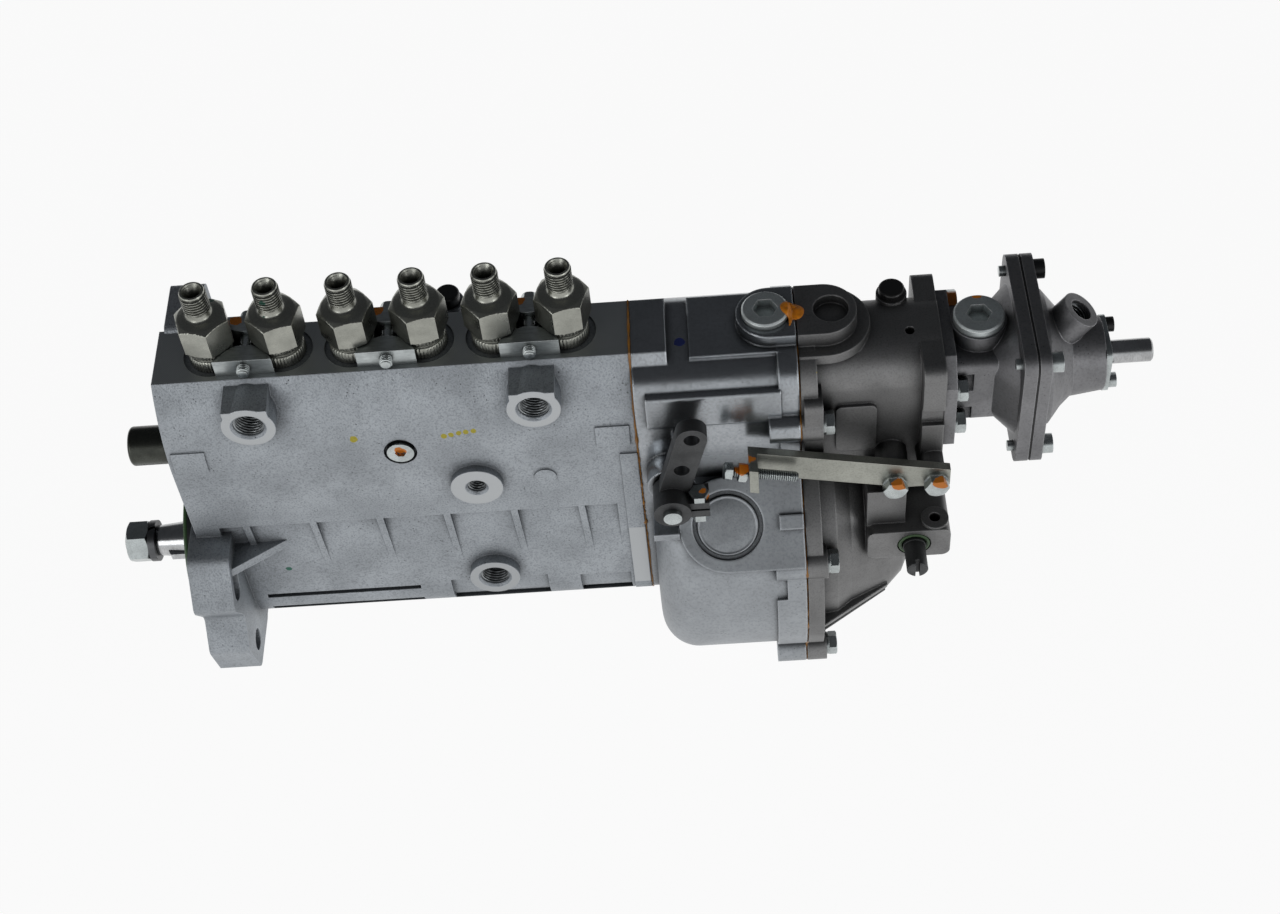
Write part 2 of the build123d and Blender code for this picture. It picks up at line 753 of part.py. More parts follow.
def rack_screw():
    """Guide screw of the control rack, with a recessed head."""
    screw = cyl_y(m6_r, rack_screw_face - 0.5, rack_y - rack_r - 0.1, rack_screw_x, rack_screw_z)
    head = cyl_y(6.2, rack_screw_face - 3.6, rack_screw_face, rack_screw_x, rack_screw_z)
    place = Pos(rack_screw_x, rack_screw_z)
    socket = along_y(place * hexagon(4.6), rack_screw_face - 4, rack_screw_face - 1.6)
    return screw + head - socket


def plunger_barrels():
    """Plunger barrels with their shoulder and spill port."""
    outline = [(plunger_r + run_gap, barrel_z0), (barrel_low_r, barrel_z0), (barrel_low_r, barrel_seat),
               (barrel_high_r, barrel_seat), (barrel_high_r, barrel_top), (plunger_r + run_gap, barrel_top)]
    shapes = []
    for x in cylinder_xs:
        port = cyl_y(1.5, -barrel_high_r - 1, 0, x, barrel_top - 7)
        shapes.append(turned_z(outline, x) - port)
    return group(shapes)


def delivery_valves():
    """Delivery valve seats with their valves closed."""
    outline = [(0, barrel_top + 1.5), (plunger_r - 1, barrel_top), (barrel_high_r, barrel_top),
               (barrel_high_r, valve_top), (valve_head_r, valve_top), (valve_head_r, valve_head_top - 2),
               (2.2, valve_head_top - 2), (2.2, valve_head_top), (0, valve_head_top)]
    return group([turned_z(outline, x) for x in cylinder_xs])


def delivery_valve_springs():
    """Delivery valve springs inside the holders."""
    wire = 1.2
    height = 12.0
    path = Helix(height / 4, height, 3.4)
    profile = Plane(origin=path @ 0, z_dir=path % 0) * Rectangle(wire, wire)
    coil = sweep(profile, path=path, is_frenet=True)
    return group([Pos(x, 0, valve_head_top - 2 + wire / 2) * coil for x in cylinder_xs])


def holder(x):
    """Delivery valve holder: thread, clamped rings, hexagon, neck and outlet cone."""
    base = top_z - deck_recess
    ring_1 = base + holder_ring_h * 0.45
    ring_2 = ring_1 + 0.8
    ring_3 = top_z + holder_ring_h
    hex_0 = top_z + holder_hex_z0
    hex_1 = top_z + holder_hex_z1
    top = top_z + holder_top
    neck = outlet_r + 2.6
    outline = [(0, valve_top), (holder_thread_r, valve_top), (holder_thread_r, base), (holder_ring_r, base),
               (holder_ring_r, ring_1), (holder_ring_r - 0.9, ring_1 + 0.4), (holder_ring_r, ring_2),
               (holder_ring_r, ring_3), (holder_ring_r - 1.2, ring_3 + 1.2), (holder_ring_r - 1.2, hex_0 + 1),
               (neck, hex_1 - 1), (neck, hex_1 + 0.6), (outlet_r, top - outlet_len), (outlet_r, top - 0.8),
               (outlet_r - 0.8, top), (0, top)]
    body = turned_z(outline, x)
    nut = along_z(Pos(x, 0) * Rot(0, 0, 12) * hexagon(holder_hex_af), hex_0, hex_1)
    corner = holder_hex_af / sqrt(3)
    body += nut & turned_z([(0, hex_0), (corner - 1.6, hex_0), (corner, hex_0 + 1.2), (corner, hex_1 - 1.6),
                            (corner - 2.4, hex_1), (0, hex_1)], x)
    body -= cyl_z(spring_bore_r, valve_top - 1, top_z + 16, x)
    body -= cyl_z(outlet_bore, top_z + 15, top + 1, x)
    return body - turned_z([(0, top - cone_r * 1.5), (cone_r, top), (cone_r, top + 1), (0, top + 1)], x)


def delivery_valve_holders():
    """All delivery valve holders."""
    return group([holder(x) for x in cylinder_xs])


def pair_xs():
    """Middle of each pair of neighbouring holders that one clamp holds."""
    return [first_x + pitch * (2 * k + 0.5) for k in range(cylinders // 2)]


def holder_clamps():
    """Clamp jaws in front of and behind each pair of holders, flat outside and round inside."""
    shapes = []
    for x in pair_xs():
        for side in (-1, 1):
            middle = side * (jaw_apex + jaw_arc_r)
            face = (Pos(x, middle) * Circle(jaw_arc_r)) & (Pos(x, 0) * Rectangle(60, 2 * jaw_face))
            jaw = along_z(face, top_z, top_z + jaw_height)
            for near in (-1, 1):
                jaw -= cyl_z(holder_ring_r + 0.05, top_z - 1, top_z + 20, x + near * pitch / 2)
            shapes.append(jaw - cyl_y(clamp_bolt_r + fit_gap, -30, 30, x, jaw_bolt_z))
    return group(shapes)


def clamp_screws():
    """Screws that draw the clamp jaws together, heads at the rear and stud ends in front."""
    shapes = []
    for x in pair_xs():
        shank = cyl_y(clamp_bolt_r, -jaw_face - clamp_bolt_out, jaw_face + 0.5, x, jaw_bolt_z)
        shank = chamfer(shank.edges().filter_by(GeomType.CIRCLE).sort_by(Axis.Y)[0], 0.6)
        head = along_y(Pos(x, jaw_bolt_z) * hexagon(8.0), jaw_face, jaw_face + 4.5)
        shapes.append(shank + head)
    return group(shapes)


def end_wall():
    """Outline of the pump end wall, which the gasket and the governor housing share."""
    return full_outline()


def pump_gasket():
    """Flat gasket between the pump and the governor housing."""
    gasket = along_x(end_wall(), body_x1, gov_x0)
    gasket -= cyl_x(bearing_r + 0.2, body_x1 - 1, gov_x0 + 1)
    return gasket - cyl_x(rack_r + 0.6, body_x1 - 1, gov_x0 + 1, rack_y, rack_z)


def upper_section(half, top, corner, low=0.0):
    """Cross-section of the upper governor body, open towards the drum."""
    body = Pos(0, (top + low) / 2) * Rectangle(2 * half, top - low)
    return fillet(body.vertices().group_by(Axis.Y)[-1], corner)


def upper_cavity():
    """Cross-section of the room inside the upper governor body."""
    return upper_section(gov_half - wall, gov_top - wall, gov_corner - wall)


def drum(r, x0, x1, edge):
    """Drum around the camshaft axis with a rounded left edge."""
    bar = cyl_x(r, x0, x1)
    return fillet(bar.edges().filter_by(GeomType.CIRCLE).sort_by(Axis.X)[0], edge)


def pad_plane(reach):
    """Plane of the tilted pad on the front of the drum."""
    t = radians(pad_tilt)
    return Plane(origin=(pad_x, -reach * cos(t), reach * sin(t)), x_dir=(1, 0, 0), z_dir=(0, -cos(t), sin(t)))


def governor_housing():
    """Governor housing: drum, tall upper body, tilted pad, seam band and deck boss."""
    x0 = gov_x0 + 4
    seat = pad_plane(pad_reach)
    body = drum(drum_r, x0, gov_x1, drum_round)
    body += along_x(end_wall(), gov_x0, x0 + 12)
    body += along_x(upper_section(gov_half, gov_top, gov_corner), gov_x0, gov_x1)
    body += along_x(upper_section(gov_half + band_out, gov_top + 1.5, gov_corner), gov_x1 - band_w, gov_x1)
    body += cyl_x(drum_r + band_out, gov_x1 - band_w, gov_x1)
    wide_band = cyl_x(drum_r + band_out, gov_x1 - band_w - 5, gov_x1)
    body += wide_band & block(gov_x1 - 20, gov_x1, -90, 90, -90, 14)
    front = -gov_half - panel_out
    panel = block(gov_x0 + 5, gov_x1 - band_w + 1, front, front + 7, gov_top - 31, gov_top - 10)
    body += fillet(panel.edges().filter_by(Axis.X).sort_by(Axis.Y)[:2], 2.0)
    body += block(gov_x0 + 26, gov_x1 - band_w + 1, -18, 18, gov_top - 2, gov_top + 1.2)
    body += block(gov_x1 - 14, gov_x1 - 8, -gov_half - 3.5, -gov_half + 2, gov_top - 40, gov_top - 28)
    pad = Circle(pad_r) + Pos((gov_x1 - pad_x) / 2, 0) * Rectangle(gov_x1 - pad_x, 2 * pad_r)
    body += extrude(seat * pad, amount=-22)
    rib_len = gov_x1 - pad_x - pad_rib_x
    body += extrude(seat.offset(-1) * Pos(pad_rib_x + rib_len / 2, 0) * Rectangle(rib_len, 7), amount=2.8)
    body += block(x0, x0 + 12, -53.5, -40, 45.8, 50)
    body += cyl_y(11.0, -gov_half - 12, -20, lever_x, lever_z)
    for y, z in cover_bolts_yz:
        body += cyl_x(cover_bolt_boss_r, gov_x1 - 14, gov_x1, y, z)
    body += deck_boss(deck_boss_x0 - 30, gov_x1)
    body += ring_x(bearing_r, 14.0, body_x1 - bearing_inset, gov_x0 + 1)
    cavity = drum(drum_r - wall, x0 + wall, gov_x1 + 1, drum_round - wall)
    cavity += cyl_x(carrier_r + 12, gov_x0 + wall, gov_x1 + 1)
    cavity += along_x(upper_cavity(), gov_x0 + wall, gov_x1 + 1)
    body -= cavity
    body -= cyl_x(14.0, body_x1 - bearing_inset - 1, gov_x0 + wall + 1)
    body -= cyl_x(rack_r + 0.4, gov_x0 - 1, gov_x0 + wall + 1, rack_y, rack_z)
    body -= cyl_y(lever_shaft_r + run_gap, -60, 0, lever_x, lever_z)
    body -= extrude(seat * Circle(plug_recess_r), amount=-1.4)
    body -= extrude(seat * Circle(core_plug_r), amount=-6.0)
    body -= cyl_z(7.6, gov_top - wall - 1, deck_boss_z + 1, deck_plug_x)
    for y, z in cover_bolts_yz:
        body -= cyl_x(m6_r + fit_gap, gov_x1 - 12, gov_x1 + 1, y, z)
    return body


def deck_boss(x0, x1, half=deck_boss_r, top=deck_boss_z):
    """Part between two planes of the long raised boss on top that straddles the seam."""
    outline = SlotCenterToCenter(deck_boss_x1 - deck_boss_x0, 2 * half)
    slot = along_z(Pos((deck_boss_x0 + deck_boss_x1) / 2, 0) * outline, gov_top - 6, top)
    return slot & block(x0, x1, -30, 30, gov_top - 10, top + 1)


def cover_gasket():
    """Sealing ring between the governor housing and its cover."""
    ring = along_x(upper_section(gov_half + 0.6, gov_top - 0.5, gov_corner), gov_x1, cover_x0)
    ring += cyl_x(drum_r + 0.6, gov_x1, cover_x0)
    for y, z in cover_bolts_yz:
        ring += cyl_x(cover_bolt_boss_r - 0.6, gov_x1, cover_x0, y, z)
    ring -= along_x(upper_cavity(), gov_x1 - 1, cover_x0 + 1)
    ring -= cyl_x(drum_r - wall, gov_x1 - 1, cover_x0 + 1)
    for y, z in cover_bolts_yz:
        ring -= cyl_x(m6_r + fit_gap, gov_x1 - 1, cover_x0 + 1, y, z)
    return ring


def dome(inset=0.0, end=None):
    """Lower dome of the governor cover around the camshaft axis."""
    last = dome_end if end is None else end
    steps = ((0, 9.5), (seam_t, 9.5), (15, 10.5), (22, 15.5), (31, 19.5), (41, 24.0), (48, 31.0))
    outline = [(cover_x0, 0)] + [(cover_x0 + x, drum_r - drop - inset) for x, drop in steps]
    outline += [(last, drum_r - 42.0 - inset), (last, 0)]
    return turned_x(outline)


def dome_web(turn):
    """Thin web between the seam flange and the dome, turned around the camshaft axis."""
    outline = Polyline((cover_x0 + 2, 40), (cover_x0 + 2, drum_r - 3), (cover_x0 + seam_t, drum_r - 3),
                       (cover_x0 + 40, drum_r - 22), (cover_x0 + 40, 40), close=True)
    return Rot(turn, 0, 0) * along_y(make_face(outline), -2, 2)


def cover_walls():
    """Outside of the governor cover without its holes."""
    body = along_x(upper_section(cover_half, cover_top, gov_corner, 40.0), cover_x0, cover_x1)
    body += dome()
    for turn in (108, 128, -108, -128):
        body += dome_web(turn)
    body += along_x(upper_section(gov_half + band_out, gov_top, gov_corner), cover_x0, cover_x0 + seam_t)
    body += cyl_x(drum_r + band_out, cover_x0, cover_x0 + seam_t)
    for y, z in cover_bolts_yz:
        body += cyl_x(cover_bolt_boss_r, cover_x0, cover_x0 + seam_t + seam_pad, y, z)
    strip_x1 = cover_x0 + seam_t + seam_pad
    strip = block(cover_x0 + 1, strip_x1, -37, -cover_half + 2, boost_z - 17, boost_z + 18)
    body += fillet(strip.edges().filter_by(Axis.X).sort_by(Axis.Y)[:2], 4)
    front = -cover_half - 2
    panel = block(cover_x0 + 16, cover_x0 + 34.5, front, front + 6, boost_z - 28, boost_z + 3.5)
    body += fillet(panel.edges().filter_by(Axis.Y), 3)
    body += deck_boss(cover_x0, deck_boss_x1 + 40)
    body += deck_boss(cover_x0, deck_boss_x1 + 40, deck_boss_r + 6.0, cover_top + 3.5)
    body += cyl_z(7.0, cover_top - 23, cover_top + 0.5, cover_x1 - 20, side_cap_y)
    end = along_x(upper_section(gov_half + 2, cover_top - 1, 6, 60), cover_x1 - 10, cover_x1)
    body += end - block(cover_x1 - 11, cover_x1 + 1, -gov_half - 4, -gov_half + 0.5, boost_z - 6, boost_z + 4)
    bx0, bx1, by0, by1, bz0, bz1 = shaft_block
    body += fillet(block(bx0, bx1, by0, by1, bz0, bz1).edges().filter_by(Axis.Y), 4)
    body += block(bx0, bx0 + 18, by0 + 6, -20, bz1 - 2, 60)
    body += cyl_z(6.5, bz1 - 3, bz1 + 1, bx1 - 7, by0 + 7)
    for x in bracket_bolt_xs:
        boss = cyl_y(7.5, strip_front + strip_t, -20, x, bracket_bolt_z)
        body += boss & block(cover_x0, cover_x1, -80, 0, 0, gov_top)
    return body


def governor_cover():
    """Governor cover: seam flange, tall upper body, dome, stop-shaft block and end face."""
    by0 = shaft_block[2]
    bx1 = shaft_block[1]
    bz1 = shaft_block[5]
    cavity = along_x(upper_section(cover_half - wall, cover_top - wall, gov_corner - wall, 46), cover_x0 - 1,
                     cover_x1 - wall)
    cavity += dome(wall, dome_end - wall)
    body = cover_walls() - cavity
    body -= cyl_y(stop_body_r + run_gap, -60, -20, stop_x, stop_z)
    body -= cyl_y(stop_body_r + 2.6, by0 - 1, by0 + 2, stop_x, stop_z)
    body -= cyl_z(8.0, deck_boss_z - 5, deck_boss_z + 1, deck_hole_x)
    body -= cyl_z(2.2, cover_top - 5, cover_top + 3, cover_x1 - 14, -6)
    body -= cyl_z(2.6, bz1 - 6, bz1 + 2, bx1 - 7, by0 + 7)
    for y, z in cover_bolts_yz:
        body -= cyl_x(m6_r + fit_gap, cover_x0 - 1, cover_x0 + 20, y, z)
    for x in bracket_bolt_xs:
        body -= cyl_y(m6_r + fit_gap, -60, -27, x, bracket_bolt_z)
    for y, z in adapter_bolts():
        body -= cyl_x(m6_r + fit_gap, cover_x1 - 5, cover_x1 + 1, y, z)
    return body - cyl_x(pin_in + 1, cover_x1 - wall - 1, cover_x1 + 1, 0, boost_z)


def adapter_bolts():
    """Centres of the four bolts that hold the compensator on the cover."""
    return [(-23, boost_z + 8), (-23, boost_z - 14.5), (23, boost_z + 16), (23, boost_z - 14.5)]


def core_plug():
    """Pressed steel plug in the tilted pad."""
    seat = pad_plane(pad_reach)
    plug = extrude(seat * Circle(core_plug_r), amount=-4.0)
    rim = extrude(seat * (Circle(plug_recess_r - 0.8) - Circle(core_plug_r - 0.6)), amount=-1.4)
    return plug + rim


def socket_plug(r, z0, z1, x):
    """Flanged screw plug with a hexagon socket."""
    plug = cyl_z(r, z0, z1, x)
    plug = chamfer(plug.edges().filter_by(GeomType.CIRCLE).sort_by(Axis.Z)[-1], 0.8)
    plug += cyl_z(7.5, z0 - 6, z0 + 1, x)
    return plug - along_z(Pos(x, 0) * hexagon(10.0), z1 - 5, z1 + 1)


def deck_plug():
    """Screw plug in the boss on top of the governor housing."""
    return socket_plug(socket_plug_r, deck_boss_z, deck_boss_z + 3.0, deck_plug_x)


def boost_plug():
    """Screw plug on top of the compensator neck."""
    return socket_plug(boost_plug_r, boost_plug_top - 4.0, boost_plug_top, boost_plug_x)


def flyweight_carrier():
    """Carrier disc on the camshaft nose with two pairs of lugs and their pins."""
    hub = cyl_x(14.0, carrier_x0, carrier_x0 + 14) + cyl_x(carrier_r, carrier_x0, carrier_x0 + carrier_t)
    for t in (-1, 1):
        for s in (-1, 1):
            lug = block(carrier_x0, pivot_x, s * 11.5 - 1.5, s * 11.5 + 1.5, t * 32 - 6, t * 32 + 6)
            hub += lug + cyl_y(6.0, s * 11.5 - 1.5, s * 11.5 + 1.5, pivot_x, t * pivot_z)
        hub += cyl_y(pivot_r, -13.5, 13.5, pivot_x, t * pivot_z)
        hub += block(carrier_x0, carrier_x0 + carrier_t, -13, 13, t * 31 - 7, t * 31 + 7)
    return hub - cyl_x(nose_r + 0.02, carrier_x0 - 1, carrier_x0 + 20)


def flyweight():
    """Upper flyweight: rounded mass, pivot eye and toe against the governor sleeve."""
    mass = block(pivot_x + 7, pivot_x + 28, -weight_half, weight_half, 24, 60) & cyl_x(50, 200, 300)
    mass += block(pivot_x, pivot_x + 8, -9.6, 9.6, pivot_z - 4, pivot_z + 5)
    mass += cyl_y(5.5, -9.6, 9.6, pivot_x, pivot_z)
    toe_z = pivot_z - toe_arm
    mass += block(pivot_x + 0.6, pivot_x + 4.6, -5, 5, toe_z, pivot_z)
    mass += cyl_y(2.0, -5, 5, pivot_x + 3.0, toe_z)
    return mass - cyl_y(pivot_r + run_gap, -20, 20, pivot_x, pivot_z)


def governor_sleeve():
    """Sliding sleeve that the toes of the flyweights push along the camshaft nose."""
    sleeve = cyl_x(11.5, gov_sleeve_x0, gov_sleeve_x0 + gov_sleeve_len)
    sleeve += cyl_x(18.0, gov_sleeve_x0, gov_sleeve_x0 + 3.0)
    sleeve += cyl_x(14.5, gov_sleeve_x0 + gov_sleeve_len - 3, gov_sleeve_x0 + gov_sleeve_len)
    return sleeve - cyl_x(nose_r + run_gap, gov_sleeve_x0 - 1, gov_sleeve_x0 + gov_sleeve_len + 1)


def speed_lever():
    """Control lever with its clamp hub and two linkage holes."""
    r0 = lever_end_r
    arm = Pos(0, lever_holes[1] / 2) * SlotCenterToCenter(lever_holes[1], 2 * r0, rotation=90)
    for h in lever_holes:
        arm -= Pos(0, h) * Circle(lever_hole_r)
    arm = along_y(Pos(lever_x, lever_z) * Rot(0, 0, -lever_lean) * arm, lever_front, lever_front + lever_t)
    arm += cyl_y(lever_hub_r, lever_hub_front, lever_front + lever_t, lever_x, lever_z)
    back = lever_front + lever_t
    ear = block(lever_x + 4, lever_x + 17, lever_hub_front + 2.5, back - 1.5, lever_z - 6, lever_z + 4)
    arm += ear - block(lever_x, lever_x + 30, lever_hub_front - 1, back + 1, lever_z - 1.6, lever_z - 0.2)
    arm -= cyl_y(lever_shaft_r + 0.02, -70, -30, lever_x, lever_z)
    return arm - cyl_z(2.6, lever_z - 9, lever_z + 8, lever_x + 12.5, lever_clamp_y)


def lever_bolt():
    """Clamp screw of the lever hub with its nut."""
    x = lever_x + 12.5
    bolt = cyl_z(2.5, lever_z - 10.5, lever_z + 4.5, x, lever_clamp_y)
    head = along_z(Pos(x, lever_clamp_y) * hexagon(8.0), lever_z + 4, lever_z + 7.5)
    nut = along_z(Pos(x, lever_clamp_y) * hexagon(8.0), lever_z - 10, lever_z - 6)
    return bolt + head + nut


def speed_shaft():
    """Shaft of the control lever with the inner crank in the governor."""
    shaft = cyl_y(lever_shaft_r, lever_hub_front - 2.5, -14, lever_x, lever_z)
    crank = Pos(0, 3.0) * SlotCenterToCenter(6, 8.6, rotation=90)
    return shaft + along_y(Pos(lever_x, lever_z) * crank, -gov_half + wall + 0.6, -19)


def strip_z(x):
    """Height of the middle of the bracket strip at x."""
    return bracket_bolt_z + strip_rise + (bracket_bolt_xs[0] - x) * tan(radians(strip_tilt))


def stop_bracket():
    """Bent strip that carries the stop screw of the control lever."""
    x1 = bracket_bolt_xs[1] + 6.5
    x0 = x1 - strip_len
    knee = bracket_bolt_xs[0] + 5
    outline = make_face(Polyline((x0, strip_z(x0) - strip_h / 2), (knee, strip_z(knee) - strip_h / 2),
                                 (x1, strip_z(knee) - strip_h / 2), (x1, strip_z(x1) + strip_h / 2),
                                 (x0, strip_z(x0) + strip_h / 2), close=True))
    strip = along_y(outline, strip_front, strip_front + strip_t)
    tab = along_y(outline, strip_front - tab_out, strip_front + 1) & block(x0, x0 + strip_t, -80, 0, 0, 200)
    strip += tab
    for x in bracket_bolt_xs:
        strip -= cyl_y(m6_r + 0.3, -60, -30, x, bracket_bolt_z)
    return strip - stop_screw_bar(m5_r + fit_gap, 40)


def stop_screw_plane():
    """Plane at the head of the stop screw, looking along the screw."""
    t = radians(strip_tilt)
    x = bracket_bolt_xs[1] + 6.5 - strip_len
    back = stop_head_gap
    return Plane(origin=(x - back * cos(t), strip_front - stop_screw_out, strip_z(x) + back * sin(t)),
                 x_dir=(0, 1, 0), z_dir=(cos(t), 0, -sin(t)))


def stop_screw_bar(r, length, start=0.0):
    """Round bar along the stop screw."""
    return extrude(stop_screw_plane().offset(start) * Circle(r), amount=length)


def stop_screw():
    """Stop screw with its head and lock nut."""
    head = extrude(stop_screw_plane() * hexagon(8.0), amount=3.5)
    nut = extrude(stop_screw_plane().offset(stop_head_gap - 5.0) * hexagon(8.0), amount=3.9)
    return head + nut + stop_screw_bar(m5_r, 34.0)


def hex_bolts():
    """Hexagon bolts of the governor cover, the stop bracket and the compensator."""
    shapes = [hex_bolt_x(cover_x0 + seam_t + seam_pad, y, z, 19.0) for y, z in cover_bolts_yz]
    shapes += [hex_bolt_y(x, strip_front, bracket_bolt_z, 14.0) for x in bracket_bolt_xs]
    shapes += [hex_bolt_x(cover_x1 + adapter_t, y, z, 9.0) for y, z in adapter_bolts()]
    return group(shapes)


def stop_shaft():
    """Stop shaft with its screwdriver slot."""
    front = shaft_block[2] - stop_out
    shaft = cyl_y(stop_r, front, -40.0, stop_x, stop_z)
    shaft = chamfer(shaft.edges().filter_by(GeomType.CIRCLE).sort_by(Axis.Y)[0], 0.8)
    shaft += cyl_y(stop_body_r, shaft_block[2] - stop_shoulder, -22.0, stop_x, stop_z)
    return shaft - block(stop_x - 1, stop_x + 1, front - 1, front + 3.0, stop_z - 8, stop_z + 8)


def boost_housing():
    """Compensator housing: bolted adapter, neck, cone and square diaphragm flange."""
    x0 = cover_x1
    x1 = neck_x1
    x2 = x1 + flange_a_t
    half = adapter_half
    adapter = Polyline((-half, adapter_z0 + 3), (-half + 4, adapter_z0), (half - 4, adapter_z0),
                       (half, adapter_z0 + 3), (half, adapter_z1 - 12), (half - 10, adapter_z1),
                       (-half + 10, adapter_z1), (-half, adapter_z1 - 12), close=True)
    body = along_x(make_face(adapter), x0, x0 + adapter_t)
    body += along_x(Pos(0, boost_z) * rounded(2 * neck_half, 2 * neck_half, 5), x0, x1)
    lower = Plane.YZ.offset(x0 + 22) * Pos(0, boost_z) * rounded(2 * neck_half - 2, 2 * neck_half - 2, 8)
    upper = Plane.YZ.offset(x1 + 1) * Pos(0, boost_z) * rounded(2 * flange_half - 9, 2 * flange_half - 9, 22)
    body += loft([lower, upper])
    body += along_x(Pos(0, boost_z) * rounded(2 * flange_half, 2 * flange_half, flange_corner), x1, x2)
    body += cyl_z(boost_plug_r + 1.0, boost_z, boost_plug_top - 4.0, boost_plug_x)
    body -= cyl_x(chamber_r, x2 - 7, x2 + 1, 0, boost_z)
    body -= cyl_x(15.0, x0 + 21, x2, 0, boost_z)
    body -= cyl_x(pin_in + run_gap, x0 - 1, x2, 0, boost_z)
    body -= cyl_z(7.6, boost_z + 12, boost_plug_top, boost_plug_x)
    for y, z in adapter_bolts():
        body -= cyl_x(m6_r + fit_gap, x0 - 1, x0 + adapter_t + 1, y, z)
        body -= cyl_x(6.6, x0 + adapter_t, x0 + 14, y, z)
    for y, z in flange_screws():
        body -= cyl_x(m5_r + fit_gap, x1 - 10, x2 + 1, y, z)
    return body


def flange_screws():
    """Centres of the four screws of the diaphragm flange."""
    return [(s * flange_screw_half, boost_z + t * flange_screw_half) for s in (-1, 1) for t in (-1, 1)]


def diaphragm():
    """Rubber diaphragm clamped between the two square flanges."""
    x2 = neck_x1 + flange_a_t
    side = 2 * flange_half - 0.6
    sheet = along_x(Pos(0, boost_z) * rounded(side, side, flange_corner), x2, x2 + diaphragm_t)
    sheet -= cyl_x(m6_r + 0.05, x2 - 1, x2 + 3, 0, boost_z)
    for y, z in flange_screws():
        sheet -= cyl_x(m5_r + fit_gap, x2 - 1, x2 + 3, y, z)
    return sheet


def boost_cover():
    """Outer compensator cover with its cone, spigot and angled air port."""
    x3 = neck_x1 + flange_a_t + diaphragm_t
    x4 = x3 + flange_b_t
    body = along_x(Pos(0, boost_z) * rounded(2 * flange_half, 2 * flange_half, flange_corner), x3, x4)
    outline = [(x4 - 1, 0), (x4 - 1, 33.0), (x4 + 3, 31.0), (x4 + 9, 23.5), (x4 + 14, spigot_r),
               (spigot_end, spigot_r - 2.0), (spigot_end, 0)]
    body += Pos(0, 0, boost_z) * turned_x(outline)
    seat = Pos(0, boost_z) * rounded(2 * end_plate_half, 2 * end_plate_half, 6)
    body += along_x(seat, spigot_end - 10, spigot_end)
    body += air_port_bar(air_port_r, 16, -14)
    body -= air_port_bar(air_bore_r, 14, -12)
    body -= cyl_x(chamber_r, x3 - 1, x3 + 6, 0, boost_z)
    body -= cyl_x(pin_r + run_gap, x3, spigot_end + 1, 0, boost_z)
    for y, z in flange_screws():
        body -= cyl_x(m5_r + fit_gap, x3 - 1, x4 + 1, y, z)
    for y, z in end_screws():
        body -= cyl_x(m4_r + fit_gap, spigot_end - 8, spigot_end + 1, y, z)
    return body


def end_screws():
    """Centres of the two screws of the end plate."""
    return [(s * end_screw_half, boost_z + s * end_screw_half) for s in (-1, 1)]


def air_port_bar(r, length, start):
    """Round bar along the axis of the air port; its mouth is the far end of start + length."""
    t = radians(air_port_tilt)
    plane = Plane(origin=(air_port_x, 0, air_port_z), x_dir=(0, 1, 0), z_dir=(sin(t), 0, cos(t)))
    return extrude(plane.offset(start) * Circle(r), amount=length)


def cap_screws():
    """Socket cap screws of the diaphragm flange and the end plate."""
    x4 = neck_x1 + flange_a_t + diaphragm_t + flange_b_t
    shapes = [cap_screw_x(x4, y, z, 15.0) for y, z in flange_screws()]
    shapes += [cap_screw_x(spigot_end + end_plate_t, y, z, 9.0, m4_r, 3.5, 4.0) for y, z in end_screws()]
    return group(shapes)


def end_plate():
    """Square retaining plate on the end of the spigot."""
    plate = along_x(Pos(0, boost_z) * rounded(2 * end_plate_half, 2 * end_plate_half, 5), spigot_end,
                    spigot_end + end_plate_t)
    plate -= cyl_x(pin_r + 0.15, spigot_end - 1, spigot_end + 9, 0, boost_z)
    for y, z in end_screws():
        plate -= cyl_x(m4_r + 0.2, spigot_end - 1, spigot_end + 9, y, z)
    return plate


def boost_pin():
    """Output pin with the diaphragm plates and the inner push rod."""
    x2 = neck_x1 + flange_a_t
    x3 = x2 + diaphragm_t
    pin = cyl_x(pin_r, x3, pin_end, 0, boost_z)
    pin = chamfer(pin.edges().filter_by(GeomType.CIRCLE).sort_by(Axis.X)[-1], 0.8)
    pin += cyl_x(chamber_r - 8, x3 + 0.05, x3 + 2.05, 0, boost_z)
    pin += cyl_x(chamber_r - 8, x2 - 2.05, x2 - 0.05, 0, boost_z)
    pin += cyl_x(m6_r, x2 - 3, x3 + 1, 0, boost_z)
    return pin + cyl_x(pin_in, cover_x1 - wall - 8, x2 - 0.05, 0, boost_z)


def boost_spring():
    """Compensator spring around the push rod."""
    wire = 2.2
    x0 = cover_x1 + 21.0
    x1 = neck_x1 + flange_a_t - 2.05
    path = Helix((x1 - x0 - wire) / 3.5, x1 - x0 - wire, 12.0)
    profile = Plane(origin=path @ 0, z_dir=path % 0) * Rectangle(wire * 0.9, wire * 0.9)
    coil = sweep(profile, path=path, is_frenet=True)
    return Pos(x0 + wire / 2, 0, boost_z) * Rot(0, 90, 0) * coil


def round_cap(r, h, x, y, z):
    """Small black protection cap with a domed edge."""
    cap = Pos(0, 0, h / 2) * Cylinder(r, h)
    cap = fillet(cap.edges().filter_by(GeomType.CIRCLE).sort_by(Axis.Z)[-1], 1.4)
    return Pos(x, y, z) * cap


def transit_caps():
    """Protection caps on the rear of the deck and on the cover."""
    rear = round_cap(5.6, 6.0, mid_boss_x - 7, rear_cap_y, rear_cap_z)
    side = round_cap(6.0, 4.0, cover_x1 - 20, side_cap_y, cover_top + 0.5)
    return group([rear, side])


